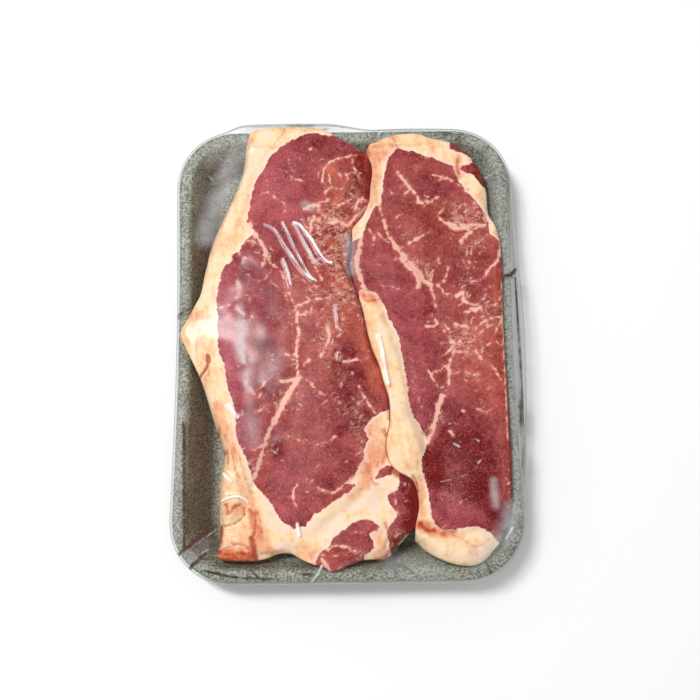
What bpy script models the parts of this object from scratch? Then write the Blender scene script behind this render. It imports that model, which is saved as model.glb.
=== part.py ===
"""A butcher's pack of two raw beef steaks.

A shallow foam tray carries two boneless sirloin steaks side by side. One clear stretch film closes
over them, comes down outside the tray's flared walls and is folded under its base.
Units are metres. X is the pack's width, Y its length and +Z is up.
"""

import math

import bpy
import numpy as np

MM = 0.001

# The foam tray: outer size over the lip, and its section
TRAY_WIDTH = 166.5 * MM
TRAY_LENGTH = 222.5 * MM
TRAY_HEIGHT = 21.5 * MM
TRAY_CORNER_RADIUS = 29 * MM
TRAY_WAIST = 1.8 * MM
BASE_THICKNESS = 3.2 * MM
LIP_WIDTH = 6 * MM
LIP_DEPTH = 4 * MM
LIP_OVERHANG = 3 * MM
INNER_WALL_RUN = 11.5 * MM
OUTER_FOOT_INSET = 15 * MM
BASE_FLAT = 9 * MM
BASE_FILLET = 5 * MM
LIP_FILLET = 1.9 * MM

# The film: thicker than the real one, so that it is a solid
FILM_THICKNESS = 0.4 * MM
FILM_CLEARANCE = 1.0 * MM
FILM_OUTSIDE = FILM_THICKNESS + 0.5 * MM
FILM_BULGE = 5 * MM
FILM_BULGE_REACH = 74 * MM
FILM_HUMP = 3.2 * MM
FILM_HUMP_ENDS = (-62 * MM, 16 * MM)
FILM_HUMP_SLOPES = (12 * MM, 24 * MM)
FILM_HEM = 30 * MM
FILM_FOLD_HEIGHT = 1.5 * MM
MEMBRANE_CELL = 1 * MM
MEMBRANE_STEPS = 1500
MEMBRANE_REACH_CELLS = 4
CREST_STEPS = 60

# The steaks: heights above the surface the pack stands on
TRAY_FOOT = FILM_THICKNESS + 0.4 * MM
STEAK_TOP = 26.5 * MM
STEAK_GAP = 0.5 * MM
THINNEST_STEAK = 4.5 * MM
EDGE_RADIUS = 5 * MM
LOWER_EDGE_RADIUS = 4 * MM
EDGE_LEVEL = 0.45
WALL_REACH = 3.5 * MM
CLEFT_HALF_GAP = 0.6 * MM
SEAM_WIDTH = 4 * MM

# Steps round the tray along a corner, a long side and a short side, and how many times finer the film's are
CORNER_STEPS = 7
LONG_SIDE_STEPS = 8
SHORT_SIDE_STEPS = 6
FILM_FINENESS = 2

# Where the two steaks lie against each other, from the far end to the near end
CLEFT = np.array([
    (11, 97), (12.5, 86), (11, 74), (6.5, 63), (2.5, 53), (1.5, 43), (3.5, 33), (7, 24), (10, 12),
    (12.5, -2), (16.5, -16), (19.5, -31), (20.5, -44), (23.5, -54), (30, -62), (33, -74), (30, -86),
]) * MM

# The left steak's outline in four sides, clockwise from its far left corner
LEFT_FAR_SIDE = np.array([
    (-47, 110.8), (-36, 112.8), (-21, 112.8), (-10, 111.2), (-4, 107.2), (3.5, 102.9), (11, 97),
]) * MM
LEFT_NEAR_SIDE = np.array([
    (22, -97), (9, -104), (-5, -106), (-16, -102), (-27, -98.5), (-38, -102), (-51, -103.3), (-61, -100),
]) * MM
LEFT_FAT_SIDE = np.array([
    (-61, -100), (-61.5, -86), (-61, -74), (-62, -62), (-61, -50), (-65, -33), (-70, -16), (-77, -1),
    (-80, 7), (-75.5, 16), (-71, 26), (-68, 38), (-64, 54), (-58, 70), (-52, 86), (-47, 110.8),
]) * MM

# The right steak's outline, clockwise from its far left corner
RIGHT_FAR_SIDE = np.array([(13, 102.5), (24, 107.3), (36, 108.2), (44, 105.6), (54, 103), (63, 97.5)]) * MM
RIGHT_LEAN_SIDE = np.array([
    (63, 97.5), (69, 88), (71, 77), (71.5, 66), (75.5, 56), (77, 42), (76.5, 20), (76.5, 0), (77, -20),
    (77.5, -42), (77.5, -64), (76, -80), (70, -95),
]) * MM
RIGHT_NEAR_SIDE = np.array([(70, -95), (61, -103.5), (50, -104), (38, -99), (31.5, -93)]) * MM

# Swellings of the top surface: the line each follows, its half width and its height
LEFT_LOBES = (
    ([(-41, 52), (-47, 30), (-46, 5), (-44, -20), (-42, -45)], 19, 3.2),
    ([(-18, 95), (-22, 75), (-18, 52)], 26, 1.6),
    ([(-8, 20), (-10, -10), (-8, -45), (-12, -70)], 24, 2.2),
    ([(4, 88), (6, 76)], 11, 1.8),
    ([(22, -60), (24, -78)], 11, 1.6),
    ([(-2, -94), (10, -90)], 13, 2.0),
    ([(-56, -66), (-55, -78)], 8, 1.8),
    ([(-54, -92), (-46, -94)], 8, 1.6),
)
RIGHT_LOBES = (
    ([(16, 88), (14, 74), (8, 58)], 8, 1.4),
    ([(15, 12), (18, -6), (23, -24), (26, -40), (30, -54)], 11, 2.8),
    ([(31, -50), (33, -60)], 13, 1.8),
    ([(38, -78), (40, -90)], 8, 1.2),
    ([(46, -98), (60, -98)], 10, 2.2),
    ([(38, 82), (48, 50)], 26, 1.8),
    ([(26, 34), (30, 8), (36, -20)], 15, 1.6),
    ([(60, 10), (60, -30)], 20, 1.8),
    ([(60, -60), (58, -80)], 17, 2.4),
)

# Grooves along the seams between the muscles: the line each follows and its depth
LEFT_SEAMS = (
    ([(-48, 55), (-40, 46), (-29, 26), (-25, 0), (-26, -14), (-34, -36), (-41, -62), (-47, -74)], 1.3),
    ([(-34, 101), (-44, 84), (-49, 62), (-55, 42), (-58, 14), (-56, -10), (-51, -34), (-43, -70)], 0.9),
    ([(-47, -74), (-36, -90), (-22, -96), (-8, -84), (8, -70), (14, -52)], 0.9),
    ([(-4, 84), (-8, 66), (-4, 52), (2, 36)], 1.0),
)
RIGHT_SEAMS = (
    ([(17, 102), (18, 78), (22, 56), (38, 34), (46, 10), (49, -6), (44, -32), (37, -48)], 1.0),
    ([(13, 30), (22, 8), (29, -14), (33, -36), (38, -52)], 1.0),
    ([(34, -66), (38, -84), (46, -92), (58, -90), (68, -88)], 1.0),
    ([(26, 103), (48, 92), (62, 76), (70, 54)], 0.8),
)


def smooth_path(points, steps):
    """A Catmull-Rom curve through the points, with this many steps from each point to the next."""
    points = np.asarray(points, float)
    ends = 2 * points[[0, -1]] - points[[1, -2]]
    p = np.vstack([ends[:1], points, ends[1:]])
    t = np.linspace(0, 1, steps, endpoint=False)[:, None]
    spans = [
        0.5 * (2 * p[i] + (p[i + 1] - p[i - 1]) * t
               + (2 * p[i - 1] - 5 * p[i] + 4 * p[i + 1] - p[i + 2]) * t ** 2
               + (3 * p[i] - p[i - 1] - 3 * p[i + 1] + p[i + 2]) * t ** 3)
        for i in range(1, len(p) - 2)
    ]
    return np.vstack([*spans, points[-1:]])


def along(path, shares):
    """Points at these shares of the path's length."""
    lengths = np.r_[0, np.cumsum(np.linalg.norm(np.diff(path, axis=0), axis=1))]
    at = np.asarray(shares) * lengths[-1]
    return np.stack([np.interp(at, lengths, column) for column in path.T], axis=-1)


def distance(points, path):
    """How far each point is from a line of straight pieces, measured flat in X and Y."""
    points, path = np.asarray(points)[..., :2], np.asarray(path)
    nearest = np.full(points.shape[:-1], np.inf)
    for start, end in zip(path[:-1], path[1:]):
        piece = end - start
        share = ((points - start) @ piece / max(piece @ piece, 1e-12)).clip(0, 1)
        nearest = np.minimum(nearest, np.linalg.norm(points - start - share[..., None] * piece, axis=-1))
    return nearest


def inside(points, loop):
    """True for each point within a closed loop, by counting the loop's edges on one side of it."""
    x, y = points[..., 0], points[..., 1]
    odd = np.zeros(x.shape, bool)
    for (x0, y0), (x1, y1) in zip(loop, np.roll(loop, -1, axis=0)):
        if y0 != y1:
            crosses = (y0 > y) != (y1 > y)
            odd ^= crosses & (x < x0 + (y - y0) / (y1 - y0) * (x1 - x0))
    return odd


def crowded_at_ends(count):
    """Shares from 0 to 1 that lie closer together at both ends."""
    even = np.linspace(0, 1, count)
    return 0.35 * even + 0.65 * (0.5 - 0.5 * np.cos(math.pi * even))


def patch(near, far, left, right, u, v):
    """A Coons patch: a grid of points between four curves, blended from the opposite pairs."""
    u, v = u[:, None, None], v[None, :, None]
    bottom, top = along(near, v[0, :, 0])[None], along(far, v[0, :, 0])[None]
    west, east = along(left, u[:, 0, 0])[:, None], along(right, u[:, 0, 0])[:, None]
    corners = ((1 - u) * (1 - v) * near[0] + (1 - u) * v * near[-1]
               + u * (1 - v) * far[0] + u * v * far[-1])
    return (1 - u) * bottom + u * top + (1 - v) * west + v * east - corners


def filleted(corners, radii, steps=4):
    """A line through the corners, with each inner corner rounded to its radius by an arc."""
    corners = [np.asarray(c, float) for c in corners]
    line = [corners[0]]
    for before, corner, after, radius in zip(corners, corners[1:], corners[2:], radii):
        to_before = (before - corner) / np.linalg.norm(before - corner)
        to_after = (after - corner) / np.linalg.norm(after - corner)
        half = math.acos(np.clip(to_before @ to_after, -1, 1)) / 2
        middle = to_before + to_after
        centre = corner + middle / np.linalg.norm(middle) * radius / math.sin(half)
        first = corner + to_before * radius / math.tan(half) - centre
        last = corner + to_after * radius / math.tan(half) - centre
        turn = math.atan2(first[0] * last[1] - first[1] * last[0], first @ last)
        for angle in np.linspace(0, turn, steps + 1):
            c, s = math.cos(angle), math.sin(angle)
            line.append(centre + np.array([c * first[0] - s * first[1], s * first[0] + c * first[1]]))
    return np.array([*line, corners[-1]])


def tray_outline(inset, finer=1):
    """The outline moved in by the inset: a rounded rectangle whose long sides draw in at the waist."""
    half_x, half_y = TRAY_WIDTH / 2 - inset, TRAY_LENGTH / 2 - inset
    radius = max(TRAY_CORNER_RADIUS - inset, 0.3 * TRAY_CORNER_RADIUS)
    points = []
    for quarter, (side_x, side_y) in enumerate(((1, 1), (-1, 1), (-1, -1), (1, -1))):
        angles = quarter * math.pi / 2 + np.linspace(0, math.pi / 2, CORNER_STEPS * finer + 1)
        centre = np.array([side_x * (half_x - radius), side_y * (half_y - radius)])
        arc = centre + radius * np.stack([np.cos(angles), np.sin(angles)], axis=1)
        reach, steps = ((half_x - radius, SHORT_SIDE_STEPS), (half_y - radius, LONG_SIDE_STEPS))[quarter % 2]
        forward = np.array([-math.sin(angles[-1]), math.cos(angles[-1])])
        shares = np.arange(1, steps * finer) / (steps * finer)
        straight = arc[-1] + forward * (2 * reach * shares)[:, None]
        points += [arc, straight]
    outline = np.vstack(points)
    return outline * np.stack([1 - waist_share(outline[:, 1]), np.ones(len(outline))], axis=1)


def waist_share(y):
    """How far the long sides draw in at y, as a share of the half width."""
    return TRAY_WAIST / (TRAY_WIDTH / 2) * (1 - (2 * y / TRAY_LENGTH) ** 2).clip(0, 1) ** 2


def tray_inset(points):
    """How far inside the tray's outer edge each point is."""
    x = np.abs(points[..., 0]) / (1 - waist_share(points[..., 1]))
    y = np.abs(points[..., 1])
    over_x = x - (TRAY_WIDTH / 2 - TRAY_CORNER_RADIUS)
    over_y = y - (TRAY_LENGTH / 2 - TRAY_CORNER_RADIUS)
    outside = np.hypot(over_x.clip(0), over_y.clip(0)) + np.minimum(np.maximum(over_x, over_y), 0)
    return TRAY_CORNER_RADIUS - outside


def tray_section():
    """The tray's section as (inset, height) from the middle of its floor over the lip to its underside."""
    top = TRAY_FOOT + TRAY_HEIGHT
    floor = TRAY_FOOT + BASE_THICKNESS
    wall_foot = LIP_WIDTH + INNER_WALL_RUN
    inner = filleted(
        [(wall_foot + BASE_FLAT, floor), (wall_foot, floor), (LIP_WIDTH, top), (0, top),
         (0, top - LIP_DEPTH), (LIP_OVERHANG, top - LIP_DEPTH - LIP_FILLET)],
        [BASE_FILLET, LIP_FILLET, LIP_FILLET, LIP_FILLET / 2],
    )
    outer = filleted(
        [(LIP_OVERHANG, top - LIP_DEPTH - LIP_FILLET), (OUTER_FOOT_INSET, TRAY_FOOT),
         (OUTER_FOOT_INSET + BASE_FLAT, TRAY_FOOT)],
        [BASE_FILLET],
        steps=3,
    )
    return np.vstack([inner, outer[1:]])


def tray_surface(points, reach=0.0):
    """Height of the tray's upper side below each point, or at the highest within this reach outwards."""
    section = tray_section()
    upper = section[: int(np.argmin(section[:, 0] > 1e-9))]
    order = np.argsort(upper[:, 0])
    return np.interp(tray_inset(points) - reach, upper[order, 0], upper[order, 1])


def swelling(points, lobes, seams):
    """The steak's relief: a soft hump along each lobe's line, less a groove along each seam's."""
    height = np.zeros(points.shape[:-1])
    for line, half_width, rise in lobes:
        near = distance(points, smooth_path(np.array(line) * MM, 4)) / (half_width * MM)
        height += rise * MM * (1 - near.clip(0, 1) ** 2) ** 2
    for line, depth in seams:
        near = distance(points, smooth_path(np.array(line) * MM, 4)) / SEAM_WIDTH
        height -= depth * MM * (1 - near.clip(0, 1) ** 2) ** 2
    return height


def steak_heights(points, outline, lobes, seams):
    """Heights of a steak's top and underside: its lobes and seams on a flat top, rounded at the outline."""
    depth_in = distance(points, outline)
    underside = np.maximum(tray_surface(points), tray_surface(points, WALL_REACH)) + STEAK_GAP
    crown = np.maximum(STEAK_TOP + swelling(points, lobes, seams), underside + THINNEST_STEAK)
    edge = underside + EDGE_LEVEL * (crown - underside)
    upper = np.sqrt(1 - (1 - (depth_in / EDGE_RADIUS).clip(0, 1)) ** 2)
    lower = np.sqrt(1 - (1 - (depth_in / LOWER_EDGE_RADIUS).clip(0, 1)) ** 2)
    return edge + (crown - edge) * upper, edge - (edge - underside) * lower


def steak_sides(name):
    """The near, far, left and right side of a steak's outline as smooth curves, rightwards or far-wards."""
    if name == "steak_left":
        cleft = CLEFT - (CLEFT_HALF_GAP, 0)
        far = np.vstack([LEFT_FAR_SIDE[:-1], cleft[:1]])
        right = np.vstack([cleft, [LEFT_NEAR_SIDE[0]]])[::-1]
        near, left = LEFT_NEAR_SIDE[::-1], LEFT_FAT_SIDE
    else:
        cleft = CLEFT + (CLEFT_HALF_GAP, 0)
        far, right = RIGHT_FAR_SIDE, RIGHT_LEAN_SIDE[::-1]
        left = np.vstack([RIGHT_FAR_SIDE[:1], cleft, RIGHT_NEAR_SIDE[-1:]])[::-1]
        near = RIGHT_NEAR_SIDE[::-1]
    return [smooth_path(side, 6) for side in (near, far, left, right)]


def closed_outline(near, far, left, right):
    """The four sides as one closed line."""
    return np.vstack([near, right[1:], far[::-1][1:], left[::-1][1:]])


def add_object(name, points, faces, material):
    mesh = bpy.data.meshes.new(name)
    mesh.from_pydata([tuple(p) for p in points], [], faces)
    mesh.validate()
    mesh.shade_smooth()
    mesh.materials.append(material)
    made = bpy.data.objects.new(name, mesh)
    bpy.context.scene.collection.objects.link(made)
    return made


def add_material(name, colour, roughness, alpha=1.0):
    material = bpy.data.materials.new(name)
    material.use_nodes = True
    shader = material.node_tree.nodes["Principled BSDF"]
    shader.inputs["Base Color"].default_value = (*colour, 1)
    shader.inputs["Roughness"].default_value = roughness
    shader.inputs["Alpha"].default_value = alpha
    return material


def grid_faces(index, flip=False):
    """Quads over a grid of vertex numbers."""
    a, b, c, d = index[:-1, :-1], index[:-1, 1:], index[1:, 1:], index[1:, :-1]
    corners = (a, d, c, b) if flip else (a, b, c, d)
    return np.stack(corners, axis=-1).reshape(-1, 4).tolist()


def build_tray():
    """Rings of the tray's outline, stacked along its section, with a flat floor and a flat underside."""
    section = tray_section()
    outlines = [tray_outline(inset) for inset, _ in section]
    rings = [np.insert(outline, 2, z, axis=1) for outline, (_, z) in zip(outlines, section)]
    count = len(rings[0])
    index = np.arange(len(rings) * count).reshape(len(rings), count)
    index = np.column_stack([index, index[:, 0]])
    faces = grid_faces(index, flip=True)
    faces.append(list(range(count)))
    faces.append(list(range((len(rings) - 1) * count, len(rings) * count))[::-1])
    foam = add_material("grey_foam", (0.20, 0.21, 0.18), 0.75)
    return add_object("tray", np.vstack(rings), faces, foam)


def build_steak(name, lobes, seams, rows, columns):
    """A steak: one grid for its top and one for its underside, which meet along its outline."""
    near, far, left, right = steak_sides(name)
    flat = patch(near, far, left, right, crowded_at_ends(rows), crowded_at_ends(columns))
    top, underside = steak_heights(flat, closed_outline(near, far, left, right), lobes, seams)
    upper = np.arange(rows * columns).reshape(rows, columns)
    lower = upper.copy()
    lower[1:-1, 1:-1] = rows * columns + np.arange((rows - 2) * (columns - 2)).reshape(rows - 2, columns - 2)
    points = np.vstack([
        np.dstack([flat, top]).reshape(-1, 3),
        np.dstack([flat, underside])[1:-1, 1:-1].reshape(-1, 3),
    ])
    beef = add_material(name + "_beef", (0.36, 0.05, 0.05), 0.4)
    return add_object(name, points, grid_faces(upper) + grid_faces(lower, flip=True), beef)


def mean_of_neighbours(height):
    """Each cell's mean of the four next to it. The outermost cells keep their values."""
    mean = height.copy()
    mean[1:-1, 1:-1] = (height[2:, 1:-1] + height[:-2, 1:-1] + height[1:-1, 2:] + height[1:-1, :-2]) / 4
    return mean


def film_heights(points):
    """The film's height over each point: a membrane relaxed over the steaks and the tray's lip."""
    half_x, half_y = TRAY_WIDTH / 2 + MEMBRANE_CELL, TRAY_LENGTH / 2 + FILM_HUMP + MEMBRANE_CELL
    xs = np.arange(-half_x, half_x + MEMBRANE_CELL, MEMBRANE_CELL)
    ys = np.arange(-half_y, half_y + MEMBRANE_CELL, MEMBRANE_CELL)
    cells = np.stack(np.meshgrid(xs, ys, indexing="ij"), axis=-1)
    lip = TRAY_FOOT + TRAY_HEIGHT
    support = np.where(tray_inset(cells) < LIP_WIDTH, lip, 0)
    reliefs = {"steak_left": (LEFT_LOBES, LEFT_SEAMS), "steak_right": (RIGHT_LOBES, RIGHT_SEAMS)}
    for name, (lobes, seams) in reliefs.items():
        outline = closed_outline(*steak_sides(name))
        top, _ = steak_heights(cells, outline, lobes, seams)
        support = np.maximum(support, np.where(inside(cells, outline), top, 0))
    for _ in range(MEMBRANE_REACH_CELLS):
        inner = support[1:-1, 1:-1]
        for neighbour in (support[2:, 1:-1], support[:-2, 1:-1], support[1:-1, 2:], support[1:-1, :-2]):
            inner = np.maximum(inner, neighbour)
        support[1:-1, 1:-1] = inner
    support += FILM_CLEARANCE + FILM_THICKNESS
    # Along the lip the sheet slopes up to each steak that lies on it
    carried = support.copy()
    on_lip = tray_inset(cells) < LIP_WIDTH
    for _ in range(CREST_STEPS):
        support = np.where(on_lip, np.maximum(carried, mean_of_neighbours(support)), carried)
    height = np.maximum(support, support.max())
    edge = tray_inset(cells) < LIP_FILLET
    for _ in range(MEMBRANE_STEPS):
        height = np.where(edge, support, np.maximum(mean_of_neighbours(height), support))
    column, row = (points[..., 0] + half_x) / MEMBRANE_CELL, (points[..., 1] + half_y) / MEMBRANE_CELL
    i, j = column.astype(int).clip(0, len(xs) - 2), row.astype(int).clip(0, len(ys) - 2)
    s, t = column - i, row - j
    return ((1 - s) * (1 - t) * height[i, j] + s * (1 - t) * height[i + 1, j]
            + (1 - s) * t * height[i, j + 1] + s * t * height[i + 1, j + 1])


def smooth_step(share):
    """0 up to share 0, 1 from share 1, and an even S between them."""
    share = share.clip(0, 1)
    return share ** 2 * (3 - 2 * share)


def film_bulge(ring, bulge, hump):
    """A ring of the film moved out: loose off the right side, and round the left steak's far end."""
    x, y = ring.T
    loose = (1 - (y / FILM_BULGE_REACH) ** 2).clip(0, 1) ** 1.5
    right = (x / (TRAY_WIDTH / 2)).clip(0, 1) ** 6
    (start, end), (rise, fall) = FILM_HUMP_ENDS, FILM_HUMP_SLOPES
    lifted = smooth_step((x - start) / rise) * smooth_step((end - x) / fall)
    far = (y / (TRAY_LENGTH / 2)).clip(0, 1) ** 6
    return ring + np.column_stack([bulge * FILM_BULGE * loose * right, hump * FILM_HUMP * lifted * far])


def build_film():
    """The film: a grid over the tray's mouth, then rings down its walls and under it, made solid inwards."""
    loop = film_bulge(tray_outline(LIP_FILLET, FILM_FINENESS), 0.0, 1.0)
    count = len(loop)
    across = (CORNER_STEPS + SHORT_SIDE_STEPS) * FILM_FINENESS
    down = (CORNER_STEPS + LONG_SIDE_STEPS) * FILM_FINENESS
    right_far = CORNER_STEPS * FILM_FINENESS // 2
    left_far = right_far + across
    left_near = left_far + down
    right_near = left_near + across
    far = loop[right_far:left_far + 1][::-1]
    left = loop[left_far:left_near + 1][::-1]
    near = loop[left_near:right_near + 1]
    right = np.roll(loop, -right_near, axis=0)[: count - right_near + right_far + 1]
    rows, columns = len(left), len(far)
    by_length = [np.r_[0, np.cumsum(np.linalg.norm(np.diff(side, axis=0), axis=1))] for side in (left, far)]
    flat = patch(near, far, left, right, *(shares / shares[-1] for shares in by_length))
    flat[0], flat[-1], flat[:, 0], flat[:, -1] = near, far, left, right
    mouth = np.arange(rows * columns).reshape(rows, columns)
    points = [np.dstack([flat, film_heights(flat)]).reshape(-1, 3)]
    rim = np.r_[mouth[-1, ::-1], mouth[-2::-1, 0], mouth[0, 1:], mouth[1:-1, -1]]

    # Each ring below the crest: its inset, its height, and its shares of the bulge and of the hump
    lip = TRAY_FOOT + TRAY_HEIGHT
    stations = (
        (-FILM_OUTSIDE, lip - 0.15 * LIP_DEPTH, 0.7, 1.0),
        (-FILM_OUTSIDE, lip - 1.2 * LIP_DEPTH, 1.0, 0.7),
        (0.45 * OUTER_FOOT_INSET - FILM_OUTSIDE, 0.5 * lip, 0.6, 0.2),
        (OUTER_FOOT_INSET - 2 * FILM_OUTSIDE, FILM_FOLD_HEIGHT, 0.0, 0.0),
        (OUTER_FOOT_INSET, 0.0, 0.0, 0.0),
        (OUTER_FOOT_INSET + FILM_HEM, 0.0, 0.0, 0.0),
    )
    rings = [rim]
    start = rows * columns
    for inset, z, bulge, hump in stations:
        ring = np.roll(film_bulge(tray_outline(inset, FILM_FINENESS), bulge, hump), -right_far, axis=0)
        points.append(np.column_stack([ring, np.full(count, z)]))
        rings.append(np.arange(start, start + count))
        start += count
    index = np.array(rings)
    index = np.column_stack([index, index[:, 0]])
    faces = grid_faces(mouth) + grid_faces(index, flip=True)
    clear = add_material("clear_film", (0.92, 0.93, 0.93), 0.1, alpha=0.2)
    film = add_object("film", np.vstack(points), faces, clear)
    wall = film.modifiers.new("film_thickness", "SOLIDIFY")
    wall.thickness = FILM_THICKNESS
    wall.offset = -1
    wall.use_even_offset = True
    return film


def centre_pack(objects):
    """Moves all the objects so that the middle of the pack's footprint is at the origin."""
    corners = np.vstack([[tuple(v.co) for v in made.data.vertices] for made in objects])
    middle = (corners.min(axis=0) + corners.max(axis=0)) / 2
    for made in objects:
        made.location = (-middle[0], -middle[1], 0)


def main():
    for old in list(bpy.data.objects):
        bpy.data.objects.remove(old)
    tray = build_tray()
    left = build_steak("steak_left", LEFT_LOBES, LEFT_SEAMS, rows=34, columns=18)
    right = build_steak("steak_right", RIGHT_LOBES, RIGHT_SEAMS, rows=34, columns=14)
    film = build_film()
    centre_pack([tray, left, right, film])


main()
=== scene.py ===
"""Looks of a sealed pack of two raw beef steaks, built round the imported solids.

The pieces come in the order the pack is put together: the foam tray, the left steak, the right steak
and the stretch film, then the floor, the lights and the camera. Lengths are in metres, but
outlines, marks and creases are in millimetres from the middle of the tray.
"""
import math

import bpy
import numpy as np
from mathutils import Matrix, Vector


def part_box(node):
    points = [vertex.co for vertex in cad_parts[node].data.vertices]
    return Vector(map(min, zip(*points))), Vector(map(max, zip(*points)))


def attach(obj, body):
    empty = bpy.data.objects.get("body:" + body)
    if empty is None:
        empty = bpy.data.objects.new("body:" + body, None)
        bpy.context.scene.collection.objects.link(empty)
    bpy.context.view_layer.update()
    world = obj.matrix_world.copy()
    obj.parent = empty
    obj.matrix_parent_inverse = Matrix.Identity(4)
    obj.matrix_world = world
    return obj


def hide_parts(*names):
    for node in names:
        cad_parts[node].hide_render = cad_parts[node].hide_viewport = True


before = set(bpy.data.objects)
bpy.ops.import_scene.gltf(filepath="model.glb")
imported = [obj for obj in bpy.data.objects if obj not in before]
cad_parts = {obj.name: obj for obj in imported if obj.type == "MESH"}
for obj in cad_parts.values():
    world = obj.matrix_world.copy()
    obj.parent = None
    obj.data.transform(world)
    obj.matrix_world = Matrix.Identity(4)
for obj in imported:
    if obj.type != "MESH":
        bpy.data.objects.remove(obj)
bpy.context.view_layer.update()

# Foam tray
# Expanded polystyrene sheet, pressed hot into a shallow dish whose edge rolls outwards into a lip.
# The foam's cells show as a fine pale and dark speckle. Meat juice has run down the inner left wall, and the
# brown there is also painted shade, darkest next to the steak.
MM = 0.001
TRAY_LOW, TRAY_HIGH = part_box("tray")
TRAY_MIDDLE = [(low + high) / 2 for low, high in zip(TRAY_LOW[:2], TRAY_HIGH[:2])]
TRAY_WIDTH = 166.5 * MM
TRAY_LENGTH = 222.5 * MM
TRAY_CORNER_RADIUS = 29 * MM
TRAY_WAIST = 1.8 * MM
TRAY_FOOT = TRAY_LOW[2]
TRAY_TOP = TRAY_HIGH[2]
TRAY_FLOOR = TRAY_FOOT + 3.2 * MM
LIP_WIDTH = 6 * MM
LIP_DEPTH = 4 * MM
LIP_OVERHANG = 3 * MM
LIP_FILLET = 1.9 * MM
INNER_FOOT_INSET = 17.5 * MM
OUTER_FOOT_INSET = 15 * MM
BASE_FILLET = 5 * MM
BASE_FLAT = 9 * MM
TRAY_RINGS, TRAY_ACROSS, TRAY_DOWN = 84, 90, 130
ARC_STEPS = 40
MARK_STEPS = 4


def filleted(corners, radii, steps):
    """A line through the corners, each inner corner rounded by an arc tangent to both its sides."""
    corners = [np.asarray(c, float) for c in corners]
    line = [corners[0]]
    for before, corner, after, radius in zip(corners, corners[1:], corners[2:], radii):
        to_before = (before - corner) / np.linalg.norm(before - corner)
        to_after = (after - corner) / np.linalg.norm(after - corner)
        half = math.acos(np.clip(to_before @ to_after, -1, 1)) / 2
        middle = to_before + to_after
        centre = corner + middle / np.linalg.norm(middle) * radius / math.sin(half)
        first = corner + to_before * radius / math.tan(half) - centre
        last = corner + to_after * radius / math.tan(half) - centre
        turn = math.atan2(first[0] * last[1] - first[1] * last[0], first @ last)
        angles = np.linspace(0, turn, steps + 1)
        line += list(centre + np.outer(np.cos(angles), first)
                     + np.outer(np.sin(angles), (-first[1], first[0])))
    return np.array([*line, corners[-1]])


def along(path, shares):
    """Points at these shares of the path's length."""
    lengths = np.r_[0, np.cumsum(np.linalg.norm(np.diff(path, axis=0), axis=1))]
    at = np.asarray(shares) * lengths[-1]
    return np.stack([np.interp(at, lengths, column) for column in path.T], axis=-1)


def waist_share(y):
    """How far the long sides draw in at y, as a share of the half width: (1 - y squared) squared."""
    return TRAY_WAIST / (TRAY_WIDTH / 2) * (1 - (2 * y / TRAY_LENGTH) ** 2).clip(0, 1) ** 2


def tray_loop(inset, across, down):
    """The tray's outline moved in by the inset, anticlockwise from the middle of the far right corner.

    It is a rounded rectangle with a waist. Its far, left, near and right sides each run from the middle
    of one corner to the middle of the next, with even steps: across for a short side, down for a long.
    """
    half_x, half_y = TRAY_WIDTH / 2 - inset, TRAY_LENGTH / 2 - inset
    radius = max(TRAY_CORNER_RADIUS - inset, 0.3 * TRAY_CORNER_RADIUS)
    sides = []
    for quarter, (side_x, side_y) in enumerate(((1, 1), (-1, 1), (-1, -1), (1, -1))):
        end_x, end_y = ((-1, 1), (-1, -1), (1, -1), (1, 1))[quarter]
        first = quarter * math.pi / 2 + np.linspace(math.pi / 4, math.pi / 2, ARC_STEPS)
        last = quarter * math.pi / 2 + np.linspace(math.pi / 2, 3 * math.pi / 4, ARC_STEPS)
        corner_at = np.array([side_x * (half_x - radius), side_y * (half_y - radius)])
        next_at = np.array([end_x * (half_x - radius), end_y * (half_y - radius)])
        side = np.vstack([corner_at + radius * np.stack([np.cos(first), np.sin(first)], axis=1),
                          next_at + radius * np.stack([np.cos(last), np.sin(last)], axis=1)])
        steps = (across, down)[quarter % 2]
        sides.append(along(side, np.arange(steps) / steps))
    loop = np.vstack(sides)
    return loop * np.stack([1 - waist_share(loop[:, 1]), np.ones(len(loop))], axis=1)


def smooth_path(points, steps):
    """A Catmull-Rom curve through the points: each stretch is a cubic set by its four nearest points."""
    points = np.asarray(points, float)
    ends = 2 * points[[0, -1]] - points[[1, -2]]
    p = np.vstack([ends[:1], points, ends[1:]])
    t = np.linspace(0, 1, steps, endpoint=False)[:, None]
    spans = [0.5 * (2 * p[i] + (p[i + 1] - p[i - 1]) * t
                    + (2 * p[i - 1] - 5 * p[i] + 4 * p[i + 1] - p[i + 2]) * t ** 2
                    + (3 * p[i] - p[i - 1] - 3 * p[i + 1] + p[i + 2]) * t ** 3)
             for i in range(1, len(p) - 2)]
    return np.vstack([*spans, points[-1:]])


def distance(points, path, reach):
    """How far each point is from a line of straight pieces, flat in X and Y, up to the reach."""
    points, path = np.asarray(points)[..., :2], np.asarray(path)
    found = np.full(points.shape[:-1], float(reach))
    low, high = path.min(axis=0) - reach, path.max(axis=0) + reach
    close = ((points > low) & (points < high)).all(axis=-1)
    some = points[close]
    nearest = np.full(len(some), float(reach))
    for start, end in zip(path[:-1], path[1:]):
        piece = end - start
        share = ((some - start) @ piece / max(piece @ piece, 1e-12)).clip(0, 1)
        off = some - start - share[:, None] * piece
        nearest = np.minimum(nearest, np.hypot(off[:, 0], off[:, 1]))
    found[close] = nearest
    return found


def soft_band(points, line, half_width):
    """1 on a line in millimetres and 0 at its half width: one less the squared share, squared."""
    path = smooth_path(np.array(line, float) * MM, MARK_STEPS)
    return (1 - (distance(points, path, half_width * MM) / (half_width * MM)) ** 2) ** 2


def strongest_band(points, bands):
    """The strongest of the soft bands at each point, each times its own amount."""
    return np.max([amount * soft_band(points, line, width) for line, width, amount in bands], axis=0)


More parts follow.
